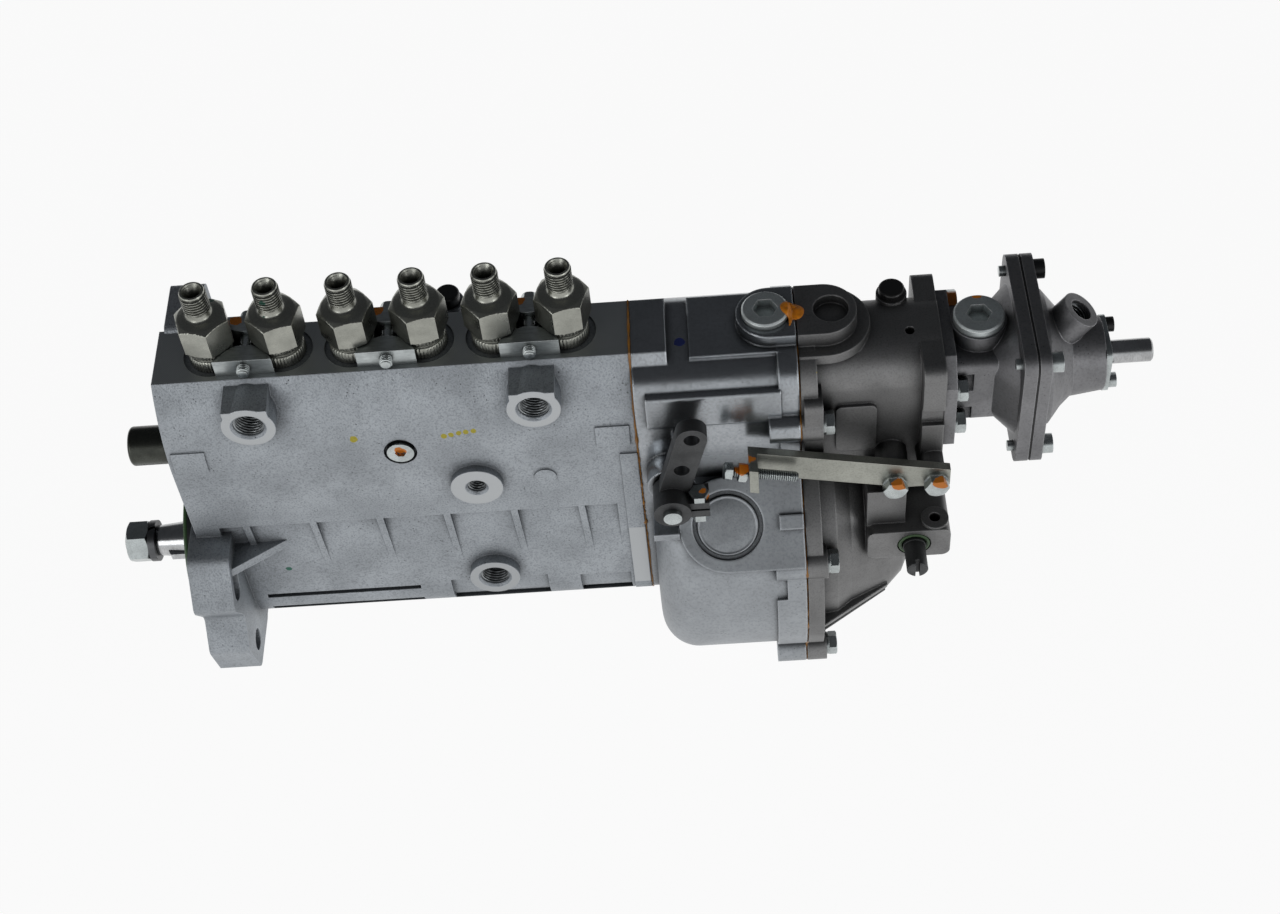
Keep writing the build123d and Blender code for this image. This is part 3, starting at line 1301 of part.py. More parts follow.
nodes = {
    "pump_housing": pump_housing,
    "end_cover": end_cover,
    "rubber_seals": rubber_seals,
    "camshaft": camshaft,
    "drive_key": drive_key_blank,
    "drive_nut": drive_nut,
    "lock_washer": lock_washer,
    "bearing_cups": bearing_cups,
    "bearing_cones": bearing_cones,
    "roller_tappets": roller_tappets,
    "spring_plates": spring_plates,
    "plunger_springs": plunger_springs,
    "plunger_barrels": plunger_barrels,
    "control_rack": control_rack,
    "rack_cap": rack_cap,
    "rack_screw": rack_screw,
    "delivery_valves": delivery_valves,
    "delivery_valve_springs": delivery_valve_springs,
    "delivery_valve_holders": delivery_valve_holders,
    "holder_clamps": holder_clamps,
    "clamp_screws": clamp_screws,
    "pump_gasket": pump_gasket,
    "governor_housing": governor_housing,
    "cover_gasket": cover_gasket,
    "governor_cover": governor_cover,
    "core_plug": core_plug,
    "deck_plug": deck_plug,
    "flyweight_carrier": flyweight_carrier,
    "flyweight_1": flyweight,
    "flyweight_2": lambda: Rot(180, 0, 0) * flyweight(),
    "governor_sleeve": governor_sleeve,
    "speed_lever": speed_lever,
    "lever_bolt": lever_bolt,
    "speed_shaft": speed_shaft,
    "stop_bracket": stop_bracket,
    "stop_screw": stop_screw,
    "hex_bolts": hex_bolts,
    "stop_shaft": stop_shaft,
    "boost_housing": boost_housing,
    "boost_plug": boost_plug,
    "diaphragm": diaphragm,
    "boost_cover": boost_cover,
    "cap_screws": cap_screws,
    "end_plate": end_plate,
    "boost_pin": boost_pin,
    "boost_spring": boost_spring,
    "transit_caps": transit_caps,
}

os.makedirs("parts", exist_ok=True)
for name, make in nodes.items():
    export_step(make(), f"parts/{name}.step")
for number, cylinder_x in enumerate(cylinder_xs, 1):
    export_step(plunger(cylinder_x), f"parts/plunger_{number}.step")
    export_step(control_sleeve(cylinder_x), f"parts/control_sleeve_{number}.step")
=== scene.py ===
"""Looks of the diesel injection pump, laid out as a Blender add-on."""
from math import cos, pi, radians, sin, sqrt

import bpy
import numpy as np
from bpy.props import FloatProperty, FloatVectorProperty, IntProperty, PointerProperty
from mathutils import Matrix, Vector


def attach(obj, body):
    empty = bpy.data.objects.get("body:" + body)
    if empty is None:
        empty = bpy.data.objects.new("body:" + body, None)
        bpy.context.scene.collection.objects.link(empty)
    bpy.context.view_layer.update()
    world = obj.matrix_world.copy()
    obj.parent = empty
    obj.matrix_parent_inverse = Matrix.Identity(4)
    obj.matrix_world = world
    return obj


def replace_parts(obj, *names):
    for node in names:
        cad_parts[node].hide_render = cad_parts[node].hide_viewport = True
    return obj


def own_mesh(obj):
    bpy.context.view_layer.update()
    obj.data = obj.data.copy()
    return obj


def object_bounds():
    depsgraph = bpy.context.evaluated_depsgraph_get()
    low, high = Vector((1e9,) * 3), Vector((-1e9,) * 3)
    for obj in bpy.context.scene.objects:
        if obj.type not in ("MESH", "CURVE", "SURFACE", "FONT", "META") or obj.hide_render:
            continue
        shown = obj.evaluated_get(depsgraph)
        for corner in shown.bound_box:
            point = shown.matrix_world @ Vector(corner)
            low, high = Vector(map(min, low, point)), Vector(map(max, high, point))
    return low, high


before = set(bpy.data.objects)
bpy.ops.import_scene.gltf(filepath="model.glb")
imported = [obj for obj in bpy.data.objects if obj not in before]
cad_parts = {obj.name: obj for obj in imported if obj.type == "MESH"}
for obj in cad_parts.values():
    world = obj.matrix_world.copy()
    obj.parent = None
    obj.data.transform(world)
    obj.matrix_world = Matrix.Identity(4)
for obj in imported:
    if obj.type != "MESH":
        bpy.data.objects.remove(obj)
cad_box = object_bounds()

bl_info = {
    "name": "Injection pump looks",
    "version": (1, 1, 0),
    "blender": (4, 5, 0),
    "location": "3D View > Sidebar > Pump",
    "description": "Dresses the injection pump with castings, plated steel, threads and sealing beads",
    "category": "Object",
}

MM = 0.001
# Places and sizes of the CAD in millimetres.
CYLINDER_XS = [30.0 + 32.0 * i for i in range(6)]
CLAMP_XS = [46.0, 110.0, 174.0]
DECK_Z = 136.0
CLAMP_Z = 140.4
BOSS_TOP = 139.4
DECK_PLUG_X = 279.2
BOOST_PLUG_X = 374.8
PUMP_SEAM_X = 217.5
COVER_SEAM_X = 292.0
BOOST_Z = 97.5
DIAPHRAGM_X = 396.3
DIAPHRAGM_THICKNESS = 1.0
# Middle of the tilted pad: its x and its distance from the camshaft axis.
PLUG_PAD = (256.8, 71.0)
PAD_TILT = radians(45)
STOP_SCREW_TILT = radians(13.2)
AIR_PORT_TILT = radians(35)
# Colours of the dabs of paint, which come back on several pieces.
ORANGE = "#c9730f"
YELLOW = "#b3a63a"
WALL_LIGHT = (0.96, 0.97, 0.98, 1)
CEILING_LIGHT = (0.06, 0.063, 0.068, 1)
# The camera's place in metres, and the ways its back and its right side face.
CAMERA_AT = (0.2541, -0.6214, 0.8185)
CAMERA_BACK = (0.03762, -0.62459, 0.78004)
CAMERA_RIGHT = (0.99727, -0.02620, -0.06898)


def linear(hexa):
    """Linear RGBA of an sRGB hex colour such as '#8f8f8c'."""
    values = [int(hexa[i:i + 2], 16) / 255 for i in (1, 3, 5)]
    return tuple(v / 12.92 if v <= 0.04045 else ((v + 0.055) / 1.055) ** 2.4 for v in values) + (1.0,)


def scaled(colour, share):
    """The same hue with its light multiplied, and never over white."""
    return tuple(min(1.0, c * share) for c in tuple(colour)[:3]) + (1.0,)


def node(tree, kind, inputs=None, **settings):
    """Adds one node, sets its properties and its inputs; an input may be a value or another socket."""
    made = tree.nodes.new(kind)
    for key, value in settings.items():
        setattr(made, key, value)
    for key, value in (inputs or {}).items():
        if isinstance(value, bpy.types.NodeSocket):
            tree.links.new(value, made.inputs[key])
        else:
            made.inputs[key].default_value = value
    return made


def finish(name, colour, rough, grain, bump, metallic=1.0, deep=0.78, drift=26.0, lay=(1.0, 1.0, 1.0),
           pores=None, milled=(), rings=None, edge=0.4, wear_and_highlight=1.35, grit=0.3, cavity=3.0, painted_shade=0.7,
           lower=None, marks=()):
    """Finish of one real material, all sizes in millimetres.

    Two tones, the colour and its share `deep`, drift over `drift`, and the roughness with them. A grain
    of lumps of size `grain`, squeezed by `lay` along the way it was worked, darkens the colour by the
    share `grit` and raises the surface by `bump`. `pores` pits it in that colour. `lower` (bottom, top,
    roughness) is a matt lower part. `milled` planes (axis, place, colour) are smooth cuts, and `rings`
    (x, y) is the centre of a turned face. Edges are rounded by `edge` and lightened by `wear_and_highlight`,
    partly as wear and partly as a painted highlight.
    Within `cavity` of other walls painted shade darkens it by the share `painted_shade`, less on milled
    faces.
    `marks` are dabs of paint, each (colour, metallic, roughness, (x, y, z, radius) places).
    """
    material = bpy.data.materials.new(name)
    material.use_nodes = True
    tree = material.node_tree
    tree.nodes.clear()
    at = node(tree, "ShaderNodeTexCoord").outputs["Object"]
    dark = scaled(colour, deep)
    cloud = node(tree, "ShaderNodeTexNoise", {"Vector": at, "Scale": 1000 / drift, "Detail": 4.0,
                                              "Roughness": 0.6}).outputs["Fac"]
    cloudy = node(tree, "ShaderNodeMapRange", {"Value": cloud, "From Min": 0.36, "From Max": 0.66})
    worked = node(tree, "ShaderNodeMapping", {"Vector": at, "Scale": lay})
    height = node(tree, "ShaderNodeTexNoise", {"Vector": worked.outputs[0], "Scale": 1000 / grain,
                                               "Detail": 2.0, "Roughness": 0.6}).outputs["Fac"]
    speckle = node(tree, "ShaderNodeMapRange", {"Value": height, "From Min": 0.46, "From Max": 0.68,
                                                "To Max": grit})
    tone = node(tree, "ShaderNodeMix", {0: cloudy.outputs[0], 6: tuple(colour), 7: dark}, data_type="RGBA")
    tone = node(tree, "ShaderNodeMix", {0: speckle.outputs[0], 6: tone.outputs[2], 7: scaled(colour, 0.35)},
                data_type="RGBA")
    low, high = rough
    matt = node(tree, "ShaderNodeMapRange", {"Value": cloud, "From Min": 0.32, "From Max": 0.68,
                                             "To Min": low, "To Max": high}).outputs[0]
    shine = metallic
    if pores:
        cells = node(tree, "ShaderNodeTexVoronoi", {"Vector": at, "Scale": 1000 / 2.2})
        pits = node(tree, "ShaderNodeMapRange", {"Value": cells.outputs["Distance"], "From Min": 0.08,
                                                 "From Max": 0.17, "To Min": 1.0, "To Max": 0.0})
        patchy = node(tree, "ShaderNodeTexNoise", {"Vector": at, "Scale": 1000 / 9.0, "Detail": 2.0})
        some = node(tree, "ShaderNodeMapRange", {"Value": patchy.outputs["Fac"], "From Min": 0.46,
                                                 "From Max": 0.6, "To Max": 0.8})
        pitted = node(tree, "ShaderNodeMath", {0: pits.outputs[0], 1: some.outputs[0]},
                      operation="MULTIPLY").outputs[0]
        tone = node(tree, "ShaderNodeMix", {0: pitted, 6: tone.outputs[2], 7: linear(pores)},
                    data_type="RGBA")
        height = node(tree, "ShaderNodeMath", {0: height, 1: pitted}, operation="SUBTRACT").outputs[0]
    if lower:
        here = node(tree, "ShaderNodeSeparateXYZ", {0: at}).outputs[2]
        bottom, top, lower_matt = lower
        under = node(tree, "ShaderNodeMapRange", {"Value": here, "From Min": bottom * MM,
                                                  "From Max": top * MM, "To Min": 1.0,
                                                  "To Max": 0.0}).outputs[0]
        matt = node(tree, "ShaderNodeMix", {0: under, 2: matt, 3: lower_matt}, data_type="FLOAT").outputs[0]
    shape = node(tree, "ShaderNodeNewGeometry").outputs["True Normal"]
    # The share of the painted shade in hollows that stays, less on the milled faces.
    shade_kept = 1.0
    for axis, place, shade in milled:
        here = node(tree, "ShaderNodeSeparateXYZ", {0: at}).outputs[axis]
        facing = node(tree, "ShaderNodeSeparateXYZ", {0: shape}).outputs[axis]
        steep = node(tree, "ShaderNodeMath", {0: facing}, operation="ABSOLUTE")
        flat = node(tree, "ShaderNodeMath", {0: steep.outputs[0], 1: 1.0, 2: 0.01}, operation="COMPARE")
        level = node(tree, "ShaderNodeMath", {0: here, 1: place * MM, 2: 0.0004}, operation="COMPARE")
        cut = node(tree, "ShaderNodeMath", {0: flat.outputs[0], 1: level.outputs[0]},
                   operation="MULTIPLY").outputs[0]
        # Cutter marks lie 0.5 to 1 mm apart; they are drawn 1.5 mm apart so that they show.
        cutter = node(tree, "ShaderNodeTexWave", {"Vector": at, "Scale": 650.0, "Distortion": 2.0,
                                                  "Detail": 2.0}, bands_direction="DIAGONAL")
        bands = node(tree, "ShaderNodeMix", {0: cutter.outputs["Fac"], 6: linear(shade),
                                             7: scaled(linear(shade), 0.88)}, data_type="RGBA")
        tone = node(tree, "ShaderNodeMix", {0: cut, 6: tone.outputs[2], 7: bands.outputs[2]},
                    data_type="RGBA")
        matt = node(tree, "ShaderNodeMix", {0: cut, 2: matt, 3: 0.42}, data_type="FLOAT").outputs[0]
        height = node(tree, "ShaderNodeMix", {0: cut, 2: height, 3: 0.5}, data_type="FLOAT").outputs[0]
        shade_kept = node(tree, "ShaderNodeMix", {0: cut, 2: shade_kept, 3: 0.35}, data_type="FLOAT").outputs[0]
    if rings:
        # Turning lines are 0.1 mm apart; they are drawn 0.7 mm apart so that they show.
        middle_x, middle_y = rings
        centred = node(tree, "ShaderNodeMapping", {"Vector": at,
                                                   "Location": (-middle_x * MM, -middle_y * MM, 0.0)})
        turned_lines = node(tree, "ShaderNodeTexWave", {"Vector": centred.outputs[0], "Scale": 1400.0,
                                                        "Distortion": 0.4},
                            wave_type="RINGS", rings_direction="Z")
        circles = node(tree, "ShaderNodeMapRange", {"Value": turned_lines.outputs["Fac"], "To Max": 0.6})
        tone = node(tree, "ShaderNodeMix", {0: circles.outputs[0], 6: tone.outputs[2], 7: dark},
                    data_type="RGBA")
    # Wear and painted highlight: where the rounded normal turns away from the true one, at the edges, the
    # colour is lightened.
    soft = node(tree, "ShaderNodeBevel", {"Radius": edge * MM}, samples=4)
    turned_away = node(tree, "ShaderNodeVectorMath", {0: soft.outputs[0], 1: shape}, operation="DOT_PRODUCT")
    edge_wear_and_highlight = node(tree, "ShaderNodeMapRange", {"Value": turned_away.outputs["Value"], "From Min": 0.90,
                                               "From Max": 0.985, "To Min": 0.8, "To Max": 0.0})
    tone = node(tree, "ShaderNodeMix", {0: edge_wear_and_highlight.outputs[0], 6: tone.outputs[2], 7: scaled(colour, wear_and_highlight)},
                data_type="RGBA")
    # Painted shade: where the ambient occlusion finds other walls near, the colour is darkened towards near
    # black.
    hollow = node(tree, "ShaderNodeAmbientOcclusion", {"Distance": cavity * MM}, samples=6)
    hollow_shade = node(tree, "ShaderNodeMapRange", {"Value": hollow.outputs["AO"], "From Min": 0.3,
                                              "From Max": 0.92, "To Min": painted_shade, "To Max": 0.0})
    hollow_shade = node(tree, "ShaderNodeMath", {0: hollow_shade.outputs[0], 1: shade_kept}, operation="MULTIPLY")
    tone = node(tree, "ShaderNodeMix", {0: hollow_shade.outputs[0], 6: tone.outputs[2], 7: scaled(colour, 0.12)},
                data_type="RGBA")
    ragged = node(tree, "ShaderNodeTexNoise", {"Vector": at, "Scale": 220.0, "Detail": 3.0,
                                               "Roughness": 0.6})
    for paint, paint_shine, paint_rough, places in marks:
        total = 0.0
        for x, y, z, r in places:
            place = (x * MM, y * MM, z * MM)
            gap = node(tree, "ShaderNodeVectorMath", {0: at, 1: place},
                       operation="DISTANCE").outputs["Value"]
            reach = node(tree, "ShaderNodeMath", {0: ragged.outputs["Fac"], 1: r * MM, 2: gap},
                         operation="MULTIPLY_ADD")
            inside = node(tree, "ShaderNodeMapRange", {"Value": reach.outputs[0], "From Min": r * MM * 1.52,
                                                       "From Max": r * MM * 1.45})
            total = node(tree, "ShaderNodeMath", {0: inside.outputs[0], 1: total},
                         operation="MAXIMUM").outputs[0]
        tone = node(tree, "ShaderNodeMix", {0: total, 6: tone.outputs[2], 7: linear(paint)},
                    data_type="RGBA")
        shine = node(tree, "ShaderNodeMix", {0: total, 2: shine, 3: paint_shine},
                     data_type="FLOAT").outputs[0]
        matt = node(tree, "ShaderNodeMix", {0: total, 2: matt, 3: paint_rough}, data_type="FLOAT").outputs[0]
    relief = node(tree, "ShaderNodeBump", {"Strength": 1.0, "Distance": bump * MM, "Height": height,
                                           "Normal": soft.outputs[0]})
    shader = node(tree, "ShaderNodeBsdfPrincipled", {"Base Color": tone.outputs[2], "Roughness": matt,
                                                     "Metallic": shine, "Normal": relief.outputs[0]})
    node(tree, "ShaderNodeOutputMaterial", {"Surface": shader.outputs[0]})
    return material


def dress(material, *names):
    """Gives the CAD nodes one material."""
    for name in names:
        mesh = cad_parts[name].data
        mesh.materials.clear()
        mesh.materials.append(material)


def surface(name, sheets, material, body, loop=False):
    """One mesh of point grids (rows, columns, 3) in millimetres. Columns close on themselves; rows close too
    where loop is true, and otherwise one flat face closes each end."""
    faces, start = [], 0
    for grid in sheets:
        rows, cols = grid.shape[:2]
        index = start + np.arange(rows * cols).reshape(rows, cols)
        after = np.roll(index, -1, axis=1)
        ring = np.stack([index, after, np.roll(after, -1, axis=0), np.roll(index, -1, axis=0)], axis=-1)
        if loop:
            faces += ring.reshape(-1, 4).tolist()
        else:
            faces += ring[:-1].reshape(-1, 4).tolist() + [index[0][::-1].tolist(), index[-1].tolist()]
        start += rows * cols
    points = np.concatenate([grid.reshape(-1, 3) for grid in sheets]) * MM
    mesh = bpy.data.meshes.new(name)
    mesh.from_pydata(points.tolist(), [], faces)
    mesh.materials.append(material)
    mesh.shade_smooth()
    mesh.set_sharp_from_angle(angle=radians(32))
    piece = bpy.data.objects.new(name, mesh)
    bpy.context.collection.objects.link(piece)
    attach(piece, body)
    return piece


def lathe(rows, columns, origin, axis, side, width=0.0, turn=0.0, teeth=0, tooth=0.0, pitch=1.0, depth=0.0):
    """Turned part. Each row is (height, radius, kind), and a point is origin + axis * height + radius *
    (side * cos + up * sin) of its angle. Kind 1 loses a cosine wave with that many teeth, kind 2 is cut to
    the hexagon, half its width over the cosine to the nearest flat, and kind 3 loses a helical groove:
    depth times the triangle wave of height / pitch minus angle / one turn, cut off so that crest and root
    are flat."""
    angles = radians(turn) + np.linspace(0, 2 * pi, columns, endpoint=False)
    heights, radii, kinds = np.array(rows, float).T
    axis = np.asarray(axis, float)
    side = np.asarray(side, float)
    radii = np.repeat(radii[:, None], columns, axis=1)
    radii -= (kinds == 1)[:, None] * (tooth / 2 * (1 + np.cos(angles * teeth)))[None]
    flats = width / 2 / np.cos((angles - radians(turn)) % (pi / 3) - pi / 6)
    radii = np.where((kinds == 2)[:, None], np.minimum(radii, flats[None]), radii)
    phase = heights[:, None] / pitch - angles[None] / (2 * pi)
    wave = depth * np.clip(1.7 * np.abs(2 * (phase - np.floor(phase)) - 1) - 0.5, 0, 1)
    radii = np.where((kinds == 3)[:, None], radii - wave, radii)
    ring = np.cos(angles)[:, None] * side + np.sin(angles)[:, None] * np.cross(axis, side)
    return np.asarray(origin, float) + heights[:, None, None] * axis + radii[:, :, None] * ring[None]


def thread_rows(start, end, radius, pitch):
    """Rows of a threaded stretch, eight to a pitch. Its radius slopes off over the first and last half
    pitch."""
    heights = np.linspace(start, end, int((end - start) / pitch * 8) + 2)
    slope = np.minimum(heights - start, end - heights) * 1.6
    return [(h, r, 3) for h, r in zip(heights, np.minimum(radius, radius - pitch * 0.8 + slope))]


def outer_reach(name, x, centre, angles):
    """Distance from centre (y, z) to the outermost side of a CAD node in the plane x, at each angle: the
    ray's length to the side from p to q is (p cross q - p) over (ray cross q - p)."""
    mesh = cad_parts[name].data
    points = np.empty(len(mesh.vertices) * 3)
    mesh.vertices.foreach_get("co", points)
    ends = np.empty(len(mesh.edges) * 2, dtype=np.int32)
    mesh.edges.foreach_get("vertices", ends)
    pairs = points.reshape(-1, 3)[ends.reshape(-1, 2)] / MM
    pairs = pairs[np.all(np.abs(pairs[:, :, 0] - x) < 0.05, axis=1)][:, :, 1:] - np.asarray(centre)
    p = pairs[None, :, 0]
    step = pairs[None, :, 1] - p
    ray = np.stack([np.cos(angles), np.sin(angles)], axis=1)[:, None]
    across = ray[..., 0] * step[..., 1] - ray[..., 1] * step[..., 0]
    across = np.where(np.abs(across) < 1e-9, 1e-9, across)
    length = (p[..., 0] * step[..., 1] - p[..., 1] * step[..., 0]) / across
    share = (p[..., 0] * ray[..., 1] - p[..., 1] * ray[..., 0]) / across
    return np.where((share >= -1e-6) & (share <= 1 + 1e-6), length, 0.0).max(axis=1)


def unit(vector):
    """The same direction at length one."""
    vector = np.array(vector, float)
    return vector / sqrt(float(vector @ vector))


def standing(at, side, back):
    """Matrix of a lamp or camera at one point, its own x along side and its own z along back."""
    turn = Matrix([list(side), list(np.cross(back, side)), list(back)]).transposed().to_4x4()
    return Matrix.Translation(at) @ turn


class PumpColours(bpy.types.PropertyGroup):
    """Colours of the finishes."""
    housing: FloatVectorProperty(name="Pump housing", description="Blasted sand-cast aluminium", size=4,
                                 subtype="COLOR", default=linear("#a6abb0"))
    governor: FloatVectorProperty(name="Governor housing", description="Pressure die-cast aluminium", size=4,
                                  subtype="COLOR", default=linear("#a3a7ab"))
    cover: FloatVectorProperty(name="Governor cover", description="Coarse sand-cast aluminium", size=4,
                               subtype="COLOR", default=linear("#808080"))
    boost: FloatVectorProperty(name="Compensator", description="Gravity-cast aluminium", size=4,
                               subtype="COLOR", default=linear("#858587"))
    zinc: FloatVectorProperty(name="Zinc plating", description="Zinc-plated bolts", size=4, subtype="COLOR",
                              default=linear("#bcc2c2"))
    nickel: FloatVectorProperty(name="Zinc-nickel plating", description="Holders and stop bracket",
                                size=4, subtype="COLOR", default=linear("#a2a39b"))
    black: FloatVectorProperty(name="Phosphating", description="Phosphated lever and stop shaft", size=4,
                               subtype="COLOR", default=linear("#4d4e4f"))
    compound: FloatVectorProperty(name="Sealing compound", description="Bead squeezed out of the seams",
                                  size=4, subtype="COLOR", default=linear("#a8701f"))
    lacquer: FloatVectorProperty(name="Screw lacquer", description="Locking lacquer on the screws", size=4,
                                 subtype="COLOR", default=linear("#e08612"))


class PumpHolderSizes(bpy.types.PropertyGroup):
    """Sizes of the delivery valve holders."""
    hex_width: FloatProperty(name="Hexagon width", description="Width across flats", default=0.022,
                             unit="LENGTH")
    outlet_radius: FloatProperty(name="Outlet radius", description="Outside radius of the outlet thread",
                                 default=0.006, unit="LENGTH")
    thread_pitch: FloatProperty(name="Thread pitch", description="Pitch of the outlet thread",
                                default=0.0015, unit="LENGTH")
    serrations: IntProperty(name="Serrations", description="Teeth round each clamped ring", default=44,
                            min=12)
    serration_depth: FloatProperty(name="Serration depth", default=0.0005, unit="LENGTH",
                                   description="Depth of the teeth of the clamped rings")


class PumpScrewSizes(bpy.types.PropertyGroup):
    """Sizes of the threaded screws and ports."""
    clamp_radius: FloatProperty(name="Clamp screw radius", description="Outside radius of the clamp screws",
                                default=0.003, unit="LENGTH")
    clamp_pitch: FloatProperty(name="Clamp screw pitch", description="Pitch of the clamp screws",
                               default=0.001, unit="LENGTH")
    stop_radius: FloatProperty(name="Stop screw radius", description="Outside radius of the stop screw",
                               default=0.0025, unit="LENGTH")
    stop_pitch: FloatProperty(name="Stop screw pitch", description="Pitch of the stop screw", default=0.001,
                              unit="LENGTH")
    port_pitch: FloatProperty(name="Port pitch", description="Pitch of the threads in the ports",
                              default=0.0015, unit="LENGTH")


class PumpBeadSizes(bpy.types.PropertyGroup):
    """Sizes of the sealing bead and of the lacquer seal on the deck."""
    radius: FloatProperty(name="Bead radius", description="Mean radius of the squeezed-out bead",
                          default=0.00075, unit="LENGTH")
    seal_height: FloatProperty(name="Seal height", description="Height of the lacquer seal on the deck",
                               default=0.0011, unit="LENGTH")


class PumpStageSettings(bpy.types.PropertyGroup):
    """Floor, lamps and camera."""
    floor: FloatVectorProperty(name="Floor colour", description="Colour of the floor", size=4,
                               subtype="COLOR", default=(0.92, 0.92, 0.92, 1.0))
    lens: FloatProperty(name="Lens", description="Focal length of the camera", default=57.9, unit="CAMERA")
    key_power: FloatProperty(name="Key lamp", description="Power of the soft lamp in front, on the left",
                             default=5.0, unit="POWER")
    side_power: FloatProperty(name="Side lamp", description="Power of the soft lamp on the right",
                              default=2.5, unit="POWER")


class PumpCastings(bpy.types.Operator):
    """Finishes the cast housings and covers"""
    bl_idname = "injection_pump.castings"
    bl_label = "Castings"

    def execute(self, context):
        tints = context.scene.pump_colours
        # Sand-cast aluminium, shot-blasted: light matt grey with a fine dark speckle, pores and a milled
        # deck. The blasting leaves dents of 0.3 mm; they are drawn 0.9 mm wide so that they show.
        streak = [(131 + 3.4 * k, -29.5, 103.2 + 0.5 * k, 1.5) for k in range(5)]
        housing = finish("sand_cast_aluminium_blasted", tints.housing, (0.50, 0.62), 0.9, 0.22, 0.92, 0.84,
                         pores="#4c4d4f", edge=0.8, wear_and_highlight=1.15, grit=0.45, cavity=9.0, painted_shade=0.85,
                         milled=((2, DECK_Z, "#b0b4b5"), (0, 12.0, "#9da1a3"), (1, -33.0, "#b4b7b9"),
                                 (1, -35.0, "#b4b7b9"), (1, -37.0, "#a9acae")),
                         marks=((YELLOW, 0.0, 0.6, ((90, -30, 104.6, 2.0), (4.4, -46, 29.1, 1.6), *streak)),
                                ("#2f6a58", 0.0, 0.6, ((42, -31.5, 12.8, 1.5),))))
        dress(housing, "pump_housing")
        # Pressure die-cast aluminium: smooth skin that mirrors the room in blurred bands. A strong painted
        # shade darkens its hollows, such as the groove round the plug.
        die = finish("die_cast_aluminium_skin", tints.governor, (0.16, 0.26), 1.4, 0.03, 0.96, 0.80,
                     drift=34.0, edge=1.3, wear_and_highlight=1.5, pores="#6a6b6d", grit=0.25, cavity=4.5, painted_shade=1.4,
                     lower=(60.0, 84.0, 0.5),
                     marks=(("#22306e", 0.0, 0.5, ((240.2, -7.5, 132.0, 2.6),)),))
        dress(die, "governor_housing")
        # Pressed aluminium cap from the same alloy, with a finer and duller face. A strong painted shade
        # darkens its rim in the groove.
        plug = finish("pressed_aluminium_plug", tints.governor, (0.46, 0.56), 0.8, 0.03, 0.95, 0.74,
                      drift=9.0, edge=0.6, cavity=4.0, painted_shade=1.6)
        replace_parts(surface("core_plug_pressed", [self.plug()], plug, "pump"), "core_plug")
        # Sand-cast aluminium from a coarser mould, tumbled: darker satin grey with a soft grain.
        cover = finish("sand_cast_aluminium_tumbled", tints.cover, (0.42, 0.54), 0.8, 0.08, 0.95, 0.80,
                       edge=1.0, wear_and_highlight=1.4, cavity=8.0, painted_shade=0.85,
                       marks=((YELLOW, 0.0, 0.6, ((301, -27, 128, 2.0),)),))
        dress(cover, "governor_cover")
        # Gravity-cast aluminium, waxed against corrosion: dark grey with soft highlights.
        boost = finish("gravity_cast_aluminium", tints.boost, (0.40, 0.54), 1.2, 0.06, 0.95, 0.76, edge=0.8,
                       wear_and_highlight=1.6, pores="#3f4042", cavity=5.0, painted_shade=0.5,
                       marks=(("#1f4f86", 0.0, 0.5, ((360.2, -20, 142.1, 2.6), (362, -15, 120, 3.0))),))
        dress(boost, "boost_housing", "boost_cover")
        # Grey iron, black lacquered: nearly black with a soft gloss.
        iron = finish("lacquered_grey_iron", linear("#232526"), (0.32, 0.44), 1.0, 0.03, 0.0, 0.7, edge=0.4)
        dress(iron, "end_cover")
        return {"FINISHED"}

    @staticmethod
    def plug():
        """Pressed cap in the tilted pad: a flat middle and a rolled rim, proud of the groove around it."""
        rows = [(-4.0, 14.2, 0), (-1.3, 14.25, 0), (-0.5, 14.2, 0), (-0.12, 14.0, 0), (0.08, 13.65, 0),
                (0.08, 13.4, 0), (-0.12, 13.1, 0), (-0.22, 12.7, 0), (-0.18, 12.3, 0), (-0.1, 11.9, 0),
                (-0.06, 6.0, 0), (-0.06, 0.05, 0)]
        x, out = PLUG_PAD
        middle = (x, -out * cos(PAD_TILT), out * sin(PAD_TILT))
        return lathe(rows, 96, middle, (0, -cos(PAD_TILT), sin(PAD_TILT)), (1, 0, 0))


